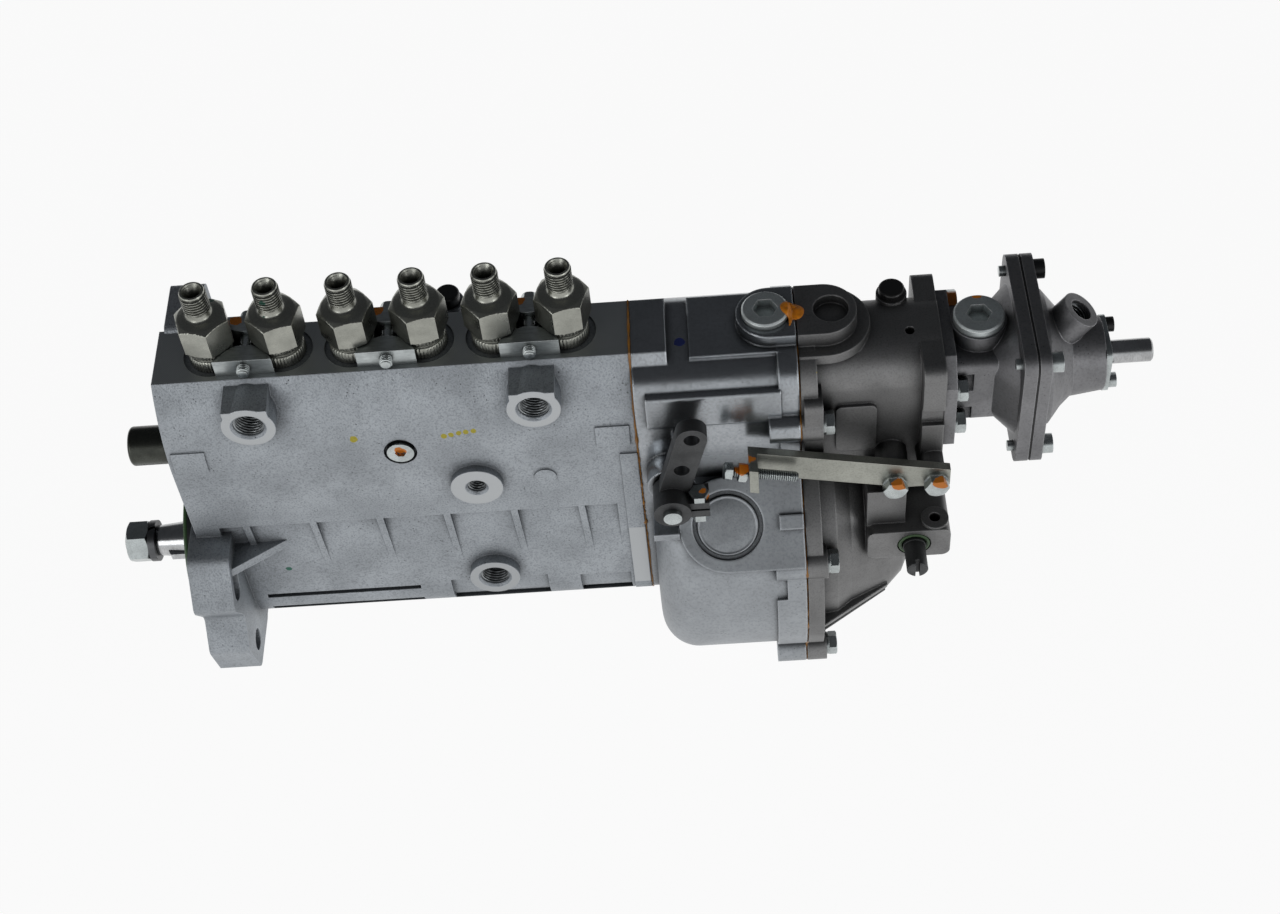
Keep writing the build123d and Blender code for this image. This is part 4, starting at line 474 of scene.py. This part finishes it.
class PumpSteel(bpy.types.Operator):
    """Finishes the plated, ground and blackened steel pieces"""
    bl_idname = "injection_pump.steel"
    bl_label = "Steel pieces"

    def execute(self, context):
        tints = context.scene.pump_colours
        # Zinc-plated steel, clear passivated: bright cool grey with a faint cloudy bloom.
        dabs = ((336, -49, 71, 4.0), (355, -49, 70.5, 4.0), (366, 21, 117, 4.5), (302.5, -30, 98.5, 3.0),
                (246.5, -52, 76.5, 3.2), (110, -29, 96.5, 3.4), (375, 11, 130, 2.6))
        zinc = finish("zinc_plated_steel", tints.zinc, (0.24, 0.36), 0.7, 0.008, deep=0.74, drift=7.0,
                      edge=0.35, marks=((ORANGE, 0.0, 0.45, dabs),))
        dress(zinc, "hex_bolts", "end_plate", "drive_nut", "lever_bolt", "speed_shaft", "rack_screw")
        # The same plating with two screws that were changed for black oxidised ones.
        mixed = finish("zinc_and_black_oxide_screws", tints.zinc, (0.26, 0.38), 0.7, 0.008, deep=0.78,
                       drift=7.0, edge=0.3,
                       marks=(("#191a1b", 0.3, 0.45, ((405, 28.4, 125.9, 8.5), (436, 9, 106.5, 7.0))),))
        dress(mixed, "cap_screws")
        # Zinc-nickel plated steel plate: satin grey with a warm green cast.
        satin = finish("zinc_nickel_plate", tints.nickel, (0.34, 0.46), 0.8, 0.01, deep=0.86, drift=12.0,
                       edge=0.4, marks=((ORANGE, 0.0, 0.45, ((267, -47, 91, 4.6), (261, -49, 91, 3.4))),))
        dress(satin, "stop_bracket")
        # Turned zinc-nickel plugs: the turning leaves fine rings round the socket.
        for name, x in (("deck_plug", DECK_PLUG_X), ("boost_plug", BOOST_PLUG_X)):
            rings = finish("turned_zinc_nickel_" + name, scaled(tints.zinc, 1.4), (0.48, 0.58), 0.8, 0.006,
                           deep=0.72, drift=10.0, edge=0.5, wear_and_highlight=1.6, rings=(x, 0.0),
                           marks=((ORANGE, 0.0, 0.45, ((375, 11, 130, 2.6),)),))
            dress(rings, name)
        # Sawn and plated steel jaws: bright flat fronts, duller on the round sides.
        jaws = finish("zinc_plated_jaws", tints.zinc, (0.32, 0.44), 0.8, 0.012, deep=0.75, drift=8.0,
                      lay=(0.15, 1.0, 1.0), edge=0.35,
                      marks=((ORANGE, 0.0, 0.45, ((41.5, 11, 145, 3.0), (105.5, 12, 145, 3.0),
                                                  (169.5, 12, 145, 3.0))),))
        dress(jaws, "holder_clamps")
        # Black passivated steel cap: dark with a soft gloss.
        cap = finish("black_passivated_steel", linear("#4a4c47"), (0.24, 0.34), 0.8, 0.008, 0.9, 0.6,
                     drift=9.0, edge=0.4, wear_and_highlight=1.8)
        dress(cap, "rack_cap")
        # Ground and polished steel: bright with fine grinding lines.
        ground = finish("ground_steel", linear("#bfc0c1"), (0.14, 0.24), 0.5, 0.004, deep=0.7, drift=9.0,
                        lay=(1.0, 1.0, 0.15), edge=0.3)
        dress(ground, "camshaft", "drive_key", "bearing_cups", "bearing_cones", "roller_tappets",
              "spring_plates", "plunger_barrels", "control_rack", "delivery_valves", "flyweight_carrier",
              "flyweight_1", "flyweight_2", "governor_sleeve", "boost_pin",
              *[f"plunger_{i}" for i in range(1, 7)],
              *[f"control_sleeve_{i}" for i in range(1, 7)])
        # Oil-tempered spring wire: dark grey.
        wire = finish("oil_tempered_wire", linear("#5f6062"), (0.3, 0.42), 0.5, 0.005, deep=0.7, edge=0.2)
        dress(wire, "lock_washer", "plunger_springs", "delivery_valve_springs")
        spring = surface("boost_spring_wound", [self.coil()], wire, "boost_rod")
        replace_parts(spring, "boost_spring")
        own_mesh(spring)
        # Phosphated steel, oiled: dark charcoal with a soft sheen.
        black = finish("phosphated_steel", tints.black, (0.42, 0.56), 0.6, 0.015, 0.75, 0.7, drift=10.0,
                       edge=0.4, wear_and_highlight=1.7)
        dress(black, "speed_lever", "stop_shaft")
        return {"FINISHED"}

    @staticmethod
    def coil():
        """Round wire of radius 1.1 wound on a helix of radius 12 that rises evenly over three and a half
        turns."""
        wire, radius, start, rise, whole = 1.1, 12.0, 379.4, 13.75, 7 * pi
        turn = np.linspace(0, whole, 260)[:, None]
        section = np.linspace(0, 2 * pi, 12, endpoint=False)[None]
        reach = radius + wire * np.cos(section)
        return np.stack([start + rise * turn / whole - wire * np.sin(section), reach * np.cos(turn),
                         BOOST_Z + reach * np.sin(turn)], axis=2)


class PumpSoft(bpy.types.Operator):
    """Finishes the seals, gaskets, diaphragm and caps"""
    bl_idname = "injection_pump.seals"
    bl_label = "Seals and gaskets"

    def execute(self, context):
        tints = context.scene.pump_colours
        # Fluorocarbon rubber, moulded: dull green, the shaft lip black.
        seals = finish("moulded_seal_rubber", linear("#3c5a34"), (0.42, 0.55), 1.2, 0.02, 0.0, 0.7, edge=0.2,
                       wear_and_highlight=1.1, marks=(("#151515", 0.0, 0.5, ((-3.0, 0.0, 0.0, 26.0),)),))
        dress(seals, "rubber_seals")
        # Fabric-reinforced rubber sheet; its weave of 0.4 mm is drawn at 0.8 mm so that it shows.
        sheet = finish("diaphragm_rubber", linear("#232323"), (0.6, 0.7), 0.8, 0.03, 0.0, 0.7, edge=0.2,
                       wear_and_highlight=1.1)
        angles = np.linspace(0, 2 * pi, 240, endpoint=False)
        rim = outer_reach("diaphragm", DIAPHRAGM_X, (0, BOOST_Z), angles)
        middle = surface("diaphragm_middle", [self.washer(angles, 3.1, 21.8 + 0 * rim)], sheet, "boost_rod",
                         loop=True)
        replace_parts(middle, "diaphragm")
        surface("diaphragm_rim", [self.washer(angles, 22.0, rim)], sheet, "pump", loop=True)
        # Gasket fibre board soaked with sealing compound: orange brown.
        fibre = finish("gasket_fibre", scaled(tints.compound, 0.6), (0.5, 0.65), 0.8, 0.02, 0.0, 0.55,
                       drift=6.0, edge=0.1, wear_and_highlight=1.1)
        dress(fibre, "pump_gasket", "cover_gasket")
        # Polyethylene caps, moulded: glossy black.
        caps = finish("polyethylene_caps", linear("#161616"), (0.25, 0.4), 3.0, 0.02, 0.0, 0.7, edge=0.6,
                      wear_and_highlight=1.3)
        dress(caps, "transit_caps")
        return {"FINISHED"}

    @staticmethod
    def washer(angles, inner, outer):
        """Flat rubber washer: its section is a rectangle from the inner radius to the outline."""
        inside = inner + 0 * outer
        radii = np.stack([outer, outer, inside, inside])
        far = DIAPHRAGM_X + DIAPHRAGM_THICKNESS
        xs = np.array([DIAPHRAGM_X, far, far, DIAPHRAGM_X])[:, None] + 0 * radii
        return np.stack([xs, radii * np.cos(angles), BOOST_Z + radii * np.sin(angles)], axis=2)


class PumpHolders(bpy.types.Operator):
    """Makes the delivery valve holders with serrated rings, chamfered hexagon and outlet thread"""
    bl_idname = "injection_pump.holders"
    bl_label = "Delivery valve holders"

    def execute(self, context):
        sizes = context.scene.pump_holders
        # Free-cutting steel, turned and zinc-nickel plated: satin with a warm green cast. Painted shade
        # darkens the thread roots and the serrations.
        dabs = ((34.0, 8.6, 162, 1.8), (60, -4.0, 163, 1.6), (60.7, -5.5, 173, 1.4))
        material = finish("turned_zinc_nickel", context.scene.pump_colours.nickel, (0.26, 0.38), 0.6, 0.008,
                          deep=0.80, drift=8.0, lay=(1.0, 1.0, 2.0), edge=0.15, wear_and_highlight=1.3, cavity=1.1,
                          painted_shade=0.95, marks=(("#1d4a3c", 0.0, 0.5, dabs),))
        radius = sizes.outlet_radius * 1000
        pitch = sizes.thread_pitch * 1000
        groove = 0.95
        top = 42.0
        rows = [(-9, 9.2, 0), (-0.9, 9.2, 0), (-0.85, 10.2, 0), (-0.7, 10.5, 1), (4.6, 10.5, 1),
                (5.2, 10.0, 0), (5.6, 9.4, 0), (6.3, 9.4, 0), (6.8, 9.9, 0), (7.4, 10.3, 1),
                (8.9, 10.3, 1), (9.2, 9.6, 0)]
        rows += [(h, 10.9 + (h - 9.6) * 1.5, 2) for h in np.linspace(9.6, 10.9, 5)]
        rows += [(h, 13.0, 2) for h in np.linspace(11.0, 22.0, 4)]
        rows += [(h, 10.1 + (26.1 - h) * 1.5, 2) for h in np.linspace(24.0, 26.0, 9)]
        rows += [(26.15, 9.9, 0), (27.0, 7.2, 0), (27.3, 6.2, 0), (27.9, 5.6, 0), (29.0, 5.3, 0),
                 (30.0, 5.1, 0)]
        rows += thread_rows(30.2, top - 0.9, radius, pitch)
        rows += [(top - 0.8, radius - 0.3, 0), (top - 0.2, radius - 0.6, 0), (top, radius - 1.0, 0),
                 (top - 0.1, 4.5, 0), (top - 2.4, 3.2, 0), (top - 5.4, 1.6, 0), (top - 14.0, 1.5, 0)]
        # Each holder was tightened to its own angle.
        turns = (46.0, 17.0, 12.0, 12.0, 12.0, 12.0)
        sheets = [lathe(rows, 132, (x, 0, DECK_Z), (0, 0, 1), (1, 0, 0), sizes.hex_width * 1000, turn,
                        sizes.serrations, sizes.serration_depth * 1000, pitch, groove)
                  for x, turn in zip(CYLINDER_XS, turns)]
        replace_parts(surface("holders_turned", sheets, material, "pump"),
                    "delivery_valve_holders")
        return {"FINISHED"}


class PumpScrews(bpy.types.Operator):
    """Makes the threaded clamp screws, the stop screw and the threads in the ports"""
    bl_idname = "injection_pump.screws"
    bl_label = "Screws and threads"

    def execute(self, context):
        sizes = context.scene.pump_screws
        tints = context.scene.pump_colours
        # Rolled threads, zinc plated: bright crests.
        material = finish("rolled_zinc_thread", tints.zinc, (0.24, 0.34), 0.5, 0.006, deep=0.8, drift=6.0,
                          edge=0.15, wear_and_highlight=1.3, marks=((ORANGE, 0.0, 0.45, ((264.5, -48.7, 90.5, 3.6),)),))
        radius = sizes.clamp_radius * 1000
        pitch = sizes.clamp_pitch * 1000
        rows = [(-18.0, 3.6, 2), (-17.8, 4.1, 2), (-13.9, 4.7, 2), (-13.5, 4.4, 2), (-13.4, radius, 0)]
        rows += [(12.4, radius, 0)] + thread_rows(12.5, 17.2, radius, pitch)
        rows += [(17.3, radius - 0.7, 0), (17.5, radius - 1.1, 0)]
        sheets = [lathe(rows, 48, (x, 0, CLAMP_Z), (0, -1, 0), (1, 0, 0), 8.0, 0.0, pitch=pitch, depth=0.62)
                  for x in CLAMP_XS]
        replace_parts(surface("clamp_screws_threaded", sheets, material, "pump"),
                    "clamp_screws")
        # The head of the stop screw starts this far behind one known point of the screw's axis.
        behind = 11.6
        x, y, z = 267.8, -48.7, 86.797
        origin = (x - behind * cos(STOP_SCREW_TILT), y, z + behind * sin(STOP_SCREW_TILT))
        axis = (cos(STOP_SCREW_TILT), 0, -sin(STOP_SCREW_TILT))
        radius = sizes.stop_radius * 1000
        pitch = sizes.stop_pitch * 1000
        head = [(0, 3.7, 2), (0.3, 4.2, 2), (3.3, 4.7, 2), (3.5, 4.5, 2), (3.55, radius, 0),
                (4.0, radius, 0)]
        head += thread_rows(4.1, 33.8, radius, pitch) + [(34.0, radius - 0.5, 0)]
        nut = [(6.6, 4.1, 2), (6.9, 4.7, 2), (10.2, 4.7, 2), (10.5, 4.1, 2)]
        screw = lathe(head, 48, origin, axis, (0, 1, 0), 8.0, 0.0, pitch=pitch, depth=0.6)
        lock = lathe(nut, 48, origin, axis, (0, 1, 0), 8.0, 20.0)
        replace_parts(surface("stop_screw_threaded", [screw, lock], material, "pump"),
                    "stop_screw")
        # Tapped aluminium: bright cut flanks in the mouths of the ports. Painted shade darkens the roots of
        # the thread.
        tapped = finish("tapped_aluminium", linear("#9fa3a5"), (0.3, 0.4), 0.6, 0.006, 0.95, 0.8, edge=0.1,
                        cavity=6.0, painted_shade=0.95)
        pitch = sizes.port_pitch * 1000
        # Each port is its mouth, the way it faces, its radius and its depth.
        front = (0, -1, 0)
        air = (sin(AIR_PORT_TILT), 0, cos(AIR_PORT_TILT))
        ports = (((46, -33, 122), front, 7.0, 11.5), ((174, -33, 122), front, 7.0, 11.5),
                 ((142, -35, 71), front, 4.3, 11.0), ((142, -37, 2), front, 7.0, 8.0),
                 ((419.3 + 2 * air[0], 0, 126.0 + 2 * air[2]), air, 5.4, 11.0))
        sheets = []
        for mouth, axis, radius, deep in ports:
            rows = [(-deep, radius + 0.6, 0), (-1.9, radius + 0.6, 0)]
            rows += [(h, radius + 0.1, 3) for h in np.linspace(-1.9, -deep, int(deep / pitch * 8))]
            sheets.append(lathe(rows, 72, mouth, axis, (0, 1, 0) if axis[1] == 0 else (1, 0, 0), pitch=pitch,
                                depth=0.9))
        surface("port_threads", sheets, tapped, "pump", loop=True)
        return {"FINISHED"}


class PumpBeads(bpy.types.Operator):
    """Makes the bead of sealing compound along both seams and the lacquer seal on the deck"""
    bl_idname = "injection_pump.beads"
    bl_label = "Sealing beads"

    def execute(self, context):
        sizes = context.scene.pump_beads
        tints = context.scene.pump_colours
        # Anaerobic flange sealant, cured: amber brown, glossy where it ran thick.
        amber = finish("cured_flange_sealant", tints.compound, (0.25, 0.4), 1.5, 0.03, 0.0, 0.55, drift=5.0,
                       edge=0.1)
        around = np.linspace(0, 2 * pi, 1200, endpoint=False)
        section = np.linspace(0, 2 * pi, 8, endpoint=False)
        sheets = []
        # Each seam is its gasket, its place, a point inside it and the blobs of its bead.
        seams = (("pump_gasket", PUMP_SEAM_X, (0, 50), ((3.62, 0.5), (4.1, 0.35), (2.2, 0.4))),
                 ("cover_gasket", COVER_SEAM_X, (0, 40),
                  ((3.75, 0.9), (4.05, 0.7), (3.3, 0.45), (4.3, 0.5))))
        for name, x, centre, blobs in seams:
            sheets.append(self.bead(name, x, centre, around, section, sizes.radius * 1000, blobs))
        surface("seam_sealant", sheets, amber, "pump", loop=True)
        # Locking lacquer, brushed on thick: opaque orange with a soft gloss.
        lacquer = finish("locking_lacquer", tints.lacquer, (0.34, 0.48), 2.0, 0.08, 0.0, 0.8, drift=4.0,
                         edge=0.3, wear_and_highlight=1.1)
        surface("deck_seal", [self.seal(sizes.seal_height * 1000)], lacquer, "pump")
        return {"FINISHED"}

    @staticmethod
    def bead(name, x, centre, around, section, radius, blobs):
        """Tube along the outside of a gasket: the path is the gasket's reach at each angle, and the tube's
        radius swells by slow sines and by a bell curve at each blob (angle, swell)."""
        reach = outer_reach(name, x, centre, around) - 0.1
        swelling = 0.35 * np.sin(23 * around) * np.sin(7 * around + 1)
        thick = radius * (1 + swelling + 0.2 * np.sin(61 * around))
        for angle, swell in blobs:
            thick = thick + swell * np.exp(-((around - angle) / 0.035) ** 2)
        out = np.stack([np.zeros_like(around), np.cos(around), np.sin(around)], axis=1)
        path = np.array([x + 0.4, centre[0], centre[1]]) + reach[:, None] * out
        swing = thick[:, None, None] * np.cos(section)[None, :, None] * out[:, None]
        along = thick[:, None, None] * np.sin(section)[None, :, None] * np.array([-0.7, 0.0, 0.0])
        return path[:, None] + swing + along

    @staticmethod
    def seal(height):
        """Two-lobed drop on the deck seam: its outline is an ellipse swollen by the cosine of twice the
        angle, by a weak sine of five times the angle and by one bell curve where it ran down. Its foot steps
        up smoothly on to the screw plug, and its height over the foot falls with the fourth power of the way
        out."""
        angles = np.linspace(0, 2 * pi, 96, endpoint=False)
        way = np.linspace(1.0, 0.02, 16)
        run = 0.8 * np.exp(-((angles - 4.5) / 0.11) ** 2)
        out = 1 + 0.10 * np.cos(2 * angles + 0.3) + 0.03 * np.sin(5 * angles) + run
        middle = np.array([291.2, -0.6])
        rim = np.stack([5.0 * out * np.cos(angles), 5.4 * out * np.sin(angles)], axis=1)
        xy = middle + way[:, None, None] * rim[None]
        near = np.clip((12.4 - np.hypot(xy[..., 0] - DECK_PLUG_X, xy[..., 1])) / 2.4, 0, 1)
        z = BOSS_TOP + 2.9 * near ** 2 * (3 - 2 * near)
        z = z + height * (1 - way ** 4)[:, None] * (1 + 0.12 * np.sin(3 * angles + 4 * way[:, None]))
        return np.concatenate([xy, z[..., None]], axis=2)


class PumpStage(bpy.types.Operator):
    """Makes the floor, the lamps, the world and the camera"""
    bl_idname = "injection_pump.stage"
    bl_label = "Stage"

    def execute(self, context):
        sizes = context.scene.pump_stage
        low = cad_box[0][2]
        mesh = bpy.data.meshes.new("floor")
        reach = 6.0
        corners = [(-reach, -reach, low), (reach, -reach, low), (reach, reach, low), (-reach, reach, low)]
        mesh.from_pydata(corners, [], [(0, 1, 2, 3)])
        floor = bpy.data.objects.new("floor", mesh)
        context.collection.objects.link(floor)
        mesh.materials.append(self.floor_material(sizes.floor))
        self.world(context.scene)
        self.lamp("key_lamp", (-0.95, -1.15, 0.75), (0.2, 0, 0.05), 0.8, 0.8, sizes.key_power)
        self.lamp("side_lamp", (1.35, -1.0, 0.55), (0.25, 0, 0.05), 0.5, 0.8, sizes.side_power)
        data = bpy.data.cameras.new("camera")
        data.sensor_width = 36.0
        data.lens = sizes.lens
        camera = bpy.data.objects.new("camera", data)
        context.collection.objects.link(camera)
        back = unit(CAMERA_BACK)
        right = np.array(CAMERA_RIGHT)
        right = unit(right - back * float(right @ back))
        camera.matrix_world = standing(CAMERA_AT, right, back)
        context.scene.camera = camera
        context.scene.view_settings.view_transform = "Standard"
        return {"FINISHED"}

    @staticmethod
    def floor_material(colour):
        """Matt white table; what the camera and the metal see of it is nearly white and keeps a soft
        shadow."""
        material = bpy.data.materials.new("painted_table")
        material.use_nodes = True
        tree = material.node_tree
        tree.nodes.clear()
        shader = node(tree, "ShaderNodeBsdfPrincipled", {"Base Color": tuple(colour), "Roughness": 0.8})
        glow = node(tree, "ShaderNodeEmission", {"Color": (1, 1, 1, 1), "Strength": 1.0})
        path = node(tree, "ShaderNodeLightPath")
        seen = node(tree, "ShaderNodeMath", {0: path.outputs["Is Camera Ray"],
                                             1: path.outputs["Is Glossy Ray"]}, operation="MAXIMUM")
        seen = node(tree, "ShaderNodeMath", {0: seen.outputs[0], 1: path.outputs["Is Transmission Ray"]},
                    operation="MAXIMUM")
        share = node(tree, "ShaderNodeMath", {0: seen.outputs[0], 1: 0.94}, operation="MULTIPLY")
        both = node(tree, "ShaderNodeMixShader", {0: share.outputs[0], 1: shader.outputs[0],
                                                  2: glow.outputs[0]})
        node(tree, "ShaderNodeOutputMaterial", {"Surface": both.outputs[0]})
        return material

    @staticmethod
    def world(scene):
        """Room light: white walls round a white table, dark above and behind, as under a studio ceiling."""
        world = bpy.data.worlds.new("room")
        world.use_nodes = True
        tree = world.node_tree
        tree.nodes.clear()
        way = node(tree, "ShaderNodeTexCoord").outputs["Generated"]
        rise = node(tree, "ShaderNodeVectorMath", {0: way, 1: (0.0, 0.25, 1.0)}, operation="DOT_PRODUCT")
        step = node(tree, "ShaderNodeMapRange", {"Value": rise.outputs["Value"], "From Min": 0.06,
                                                 "From Max": 0.46}, interpolation_type="SMOOTHSTEP")
        shade = node(tree, "ShaderNodeMix", {0: step.outputs[0], 6: WALL_LIGHT, 7: CEILING_LIGHT},
                     data_type="RGBA")
        light = node(tree, "ShaderNodeBackground", {"Color": shade.outputs[2], "Strength": 1.0})
        node(tree, "ShaderNodeOutputWorld", {"Surface": light.outputs[0]})
        scene.world = world

    @staticmethod
    def lamp(name, at, to, width, height, power):
        """Rectangular soft lamp at one point, facing another."""
        data = bpy.data.lights.new(name, "AREA")
        data.shape = "RECTANGLE"
        data.size = width
        data.size_y = height
        data.energy = power
        lamp = bpy.data.objects.new(name, data)
        bpy.context.collection.objects.link(lamp)
        away = unit(np.array(at, float) - np.array(to, float))
        lamp.matrix_world = standing(at, unit(np.cross((0, 0, 1), away)), away)


GROUPS = (("pump_colours", PumpColours), ("pump_holders", PumpHolderSizes), ("pump_screws", PumpScrewSizes),
          ("pump_beads", PumpBeadSizes), ("pump_stage", PumpStageSettings))
OPERATORS = (PumpStage, PumpCastings, PumpSteel, PumpSoft, PumpHolders, PumpScrews, PumpBeads)


class PumpPanel(bpy.types.Panel):
    """Lists the operators of the injection pump"""
    bl_idname = "VIEW3D_PT_injection_pump"
    bl_label = "Injection pump"
    bl_space_type = "VIEW_3D"
    bl_region_type = "UI"
    bl_category = "Pump"

    def draw(self, context):
        for operator in OPERATORS:
            self.layout.operator(operator.bl_idname)


def register():
    """Registers the property groups, operators and panel."""
    for name, group in GROUPS:
        bpy.utils.register_class(group)
        setattr(bpy.types.Scene, name, PointerProperty(type=group))
    for kind in OPERATORS + (PumpPanel,):
        bpy.utils.register_class(kind)


def unregister():
    """Takes them out again."""
    for kind in reversed(OPERATORS + (PumpPanel,)):
        bpy.utils.unregister_class(kind)
    for name, group in reversed(GROUPS):
        delattr(bpy.types.Scene, name)
        bpy.utils.unregister_class(group)


def main():
    """Runs every operator."""
    register()
    bpy.ops.injection_pump.stage()
    bpy.ops.injection_pump.castings()
    bpy.ops.injection_pump.steel()
    bpy.ops.injection_pump.seals()
    bpy.ops.injection_pump.holders()
    bpy.ops.injection_pump.screws()
    bpy.ops.injection_pump.beads()


if __name__ == "__main__":
    main()
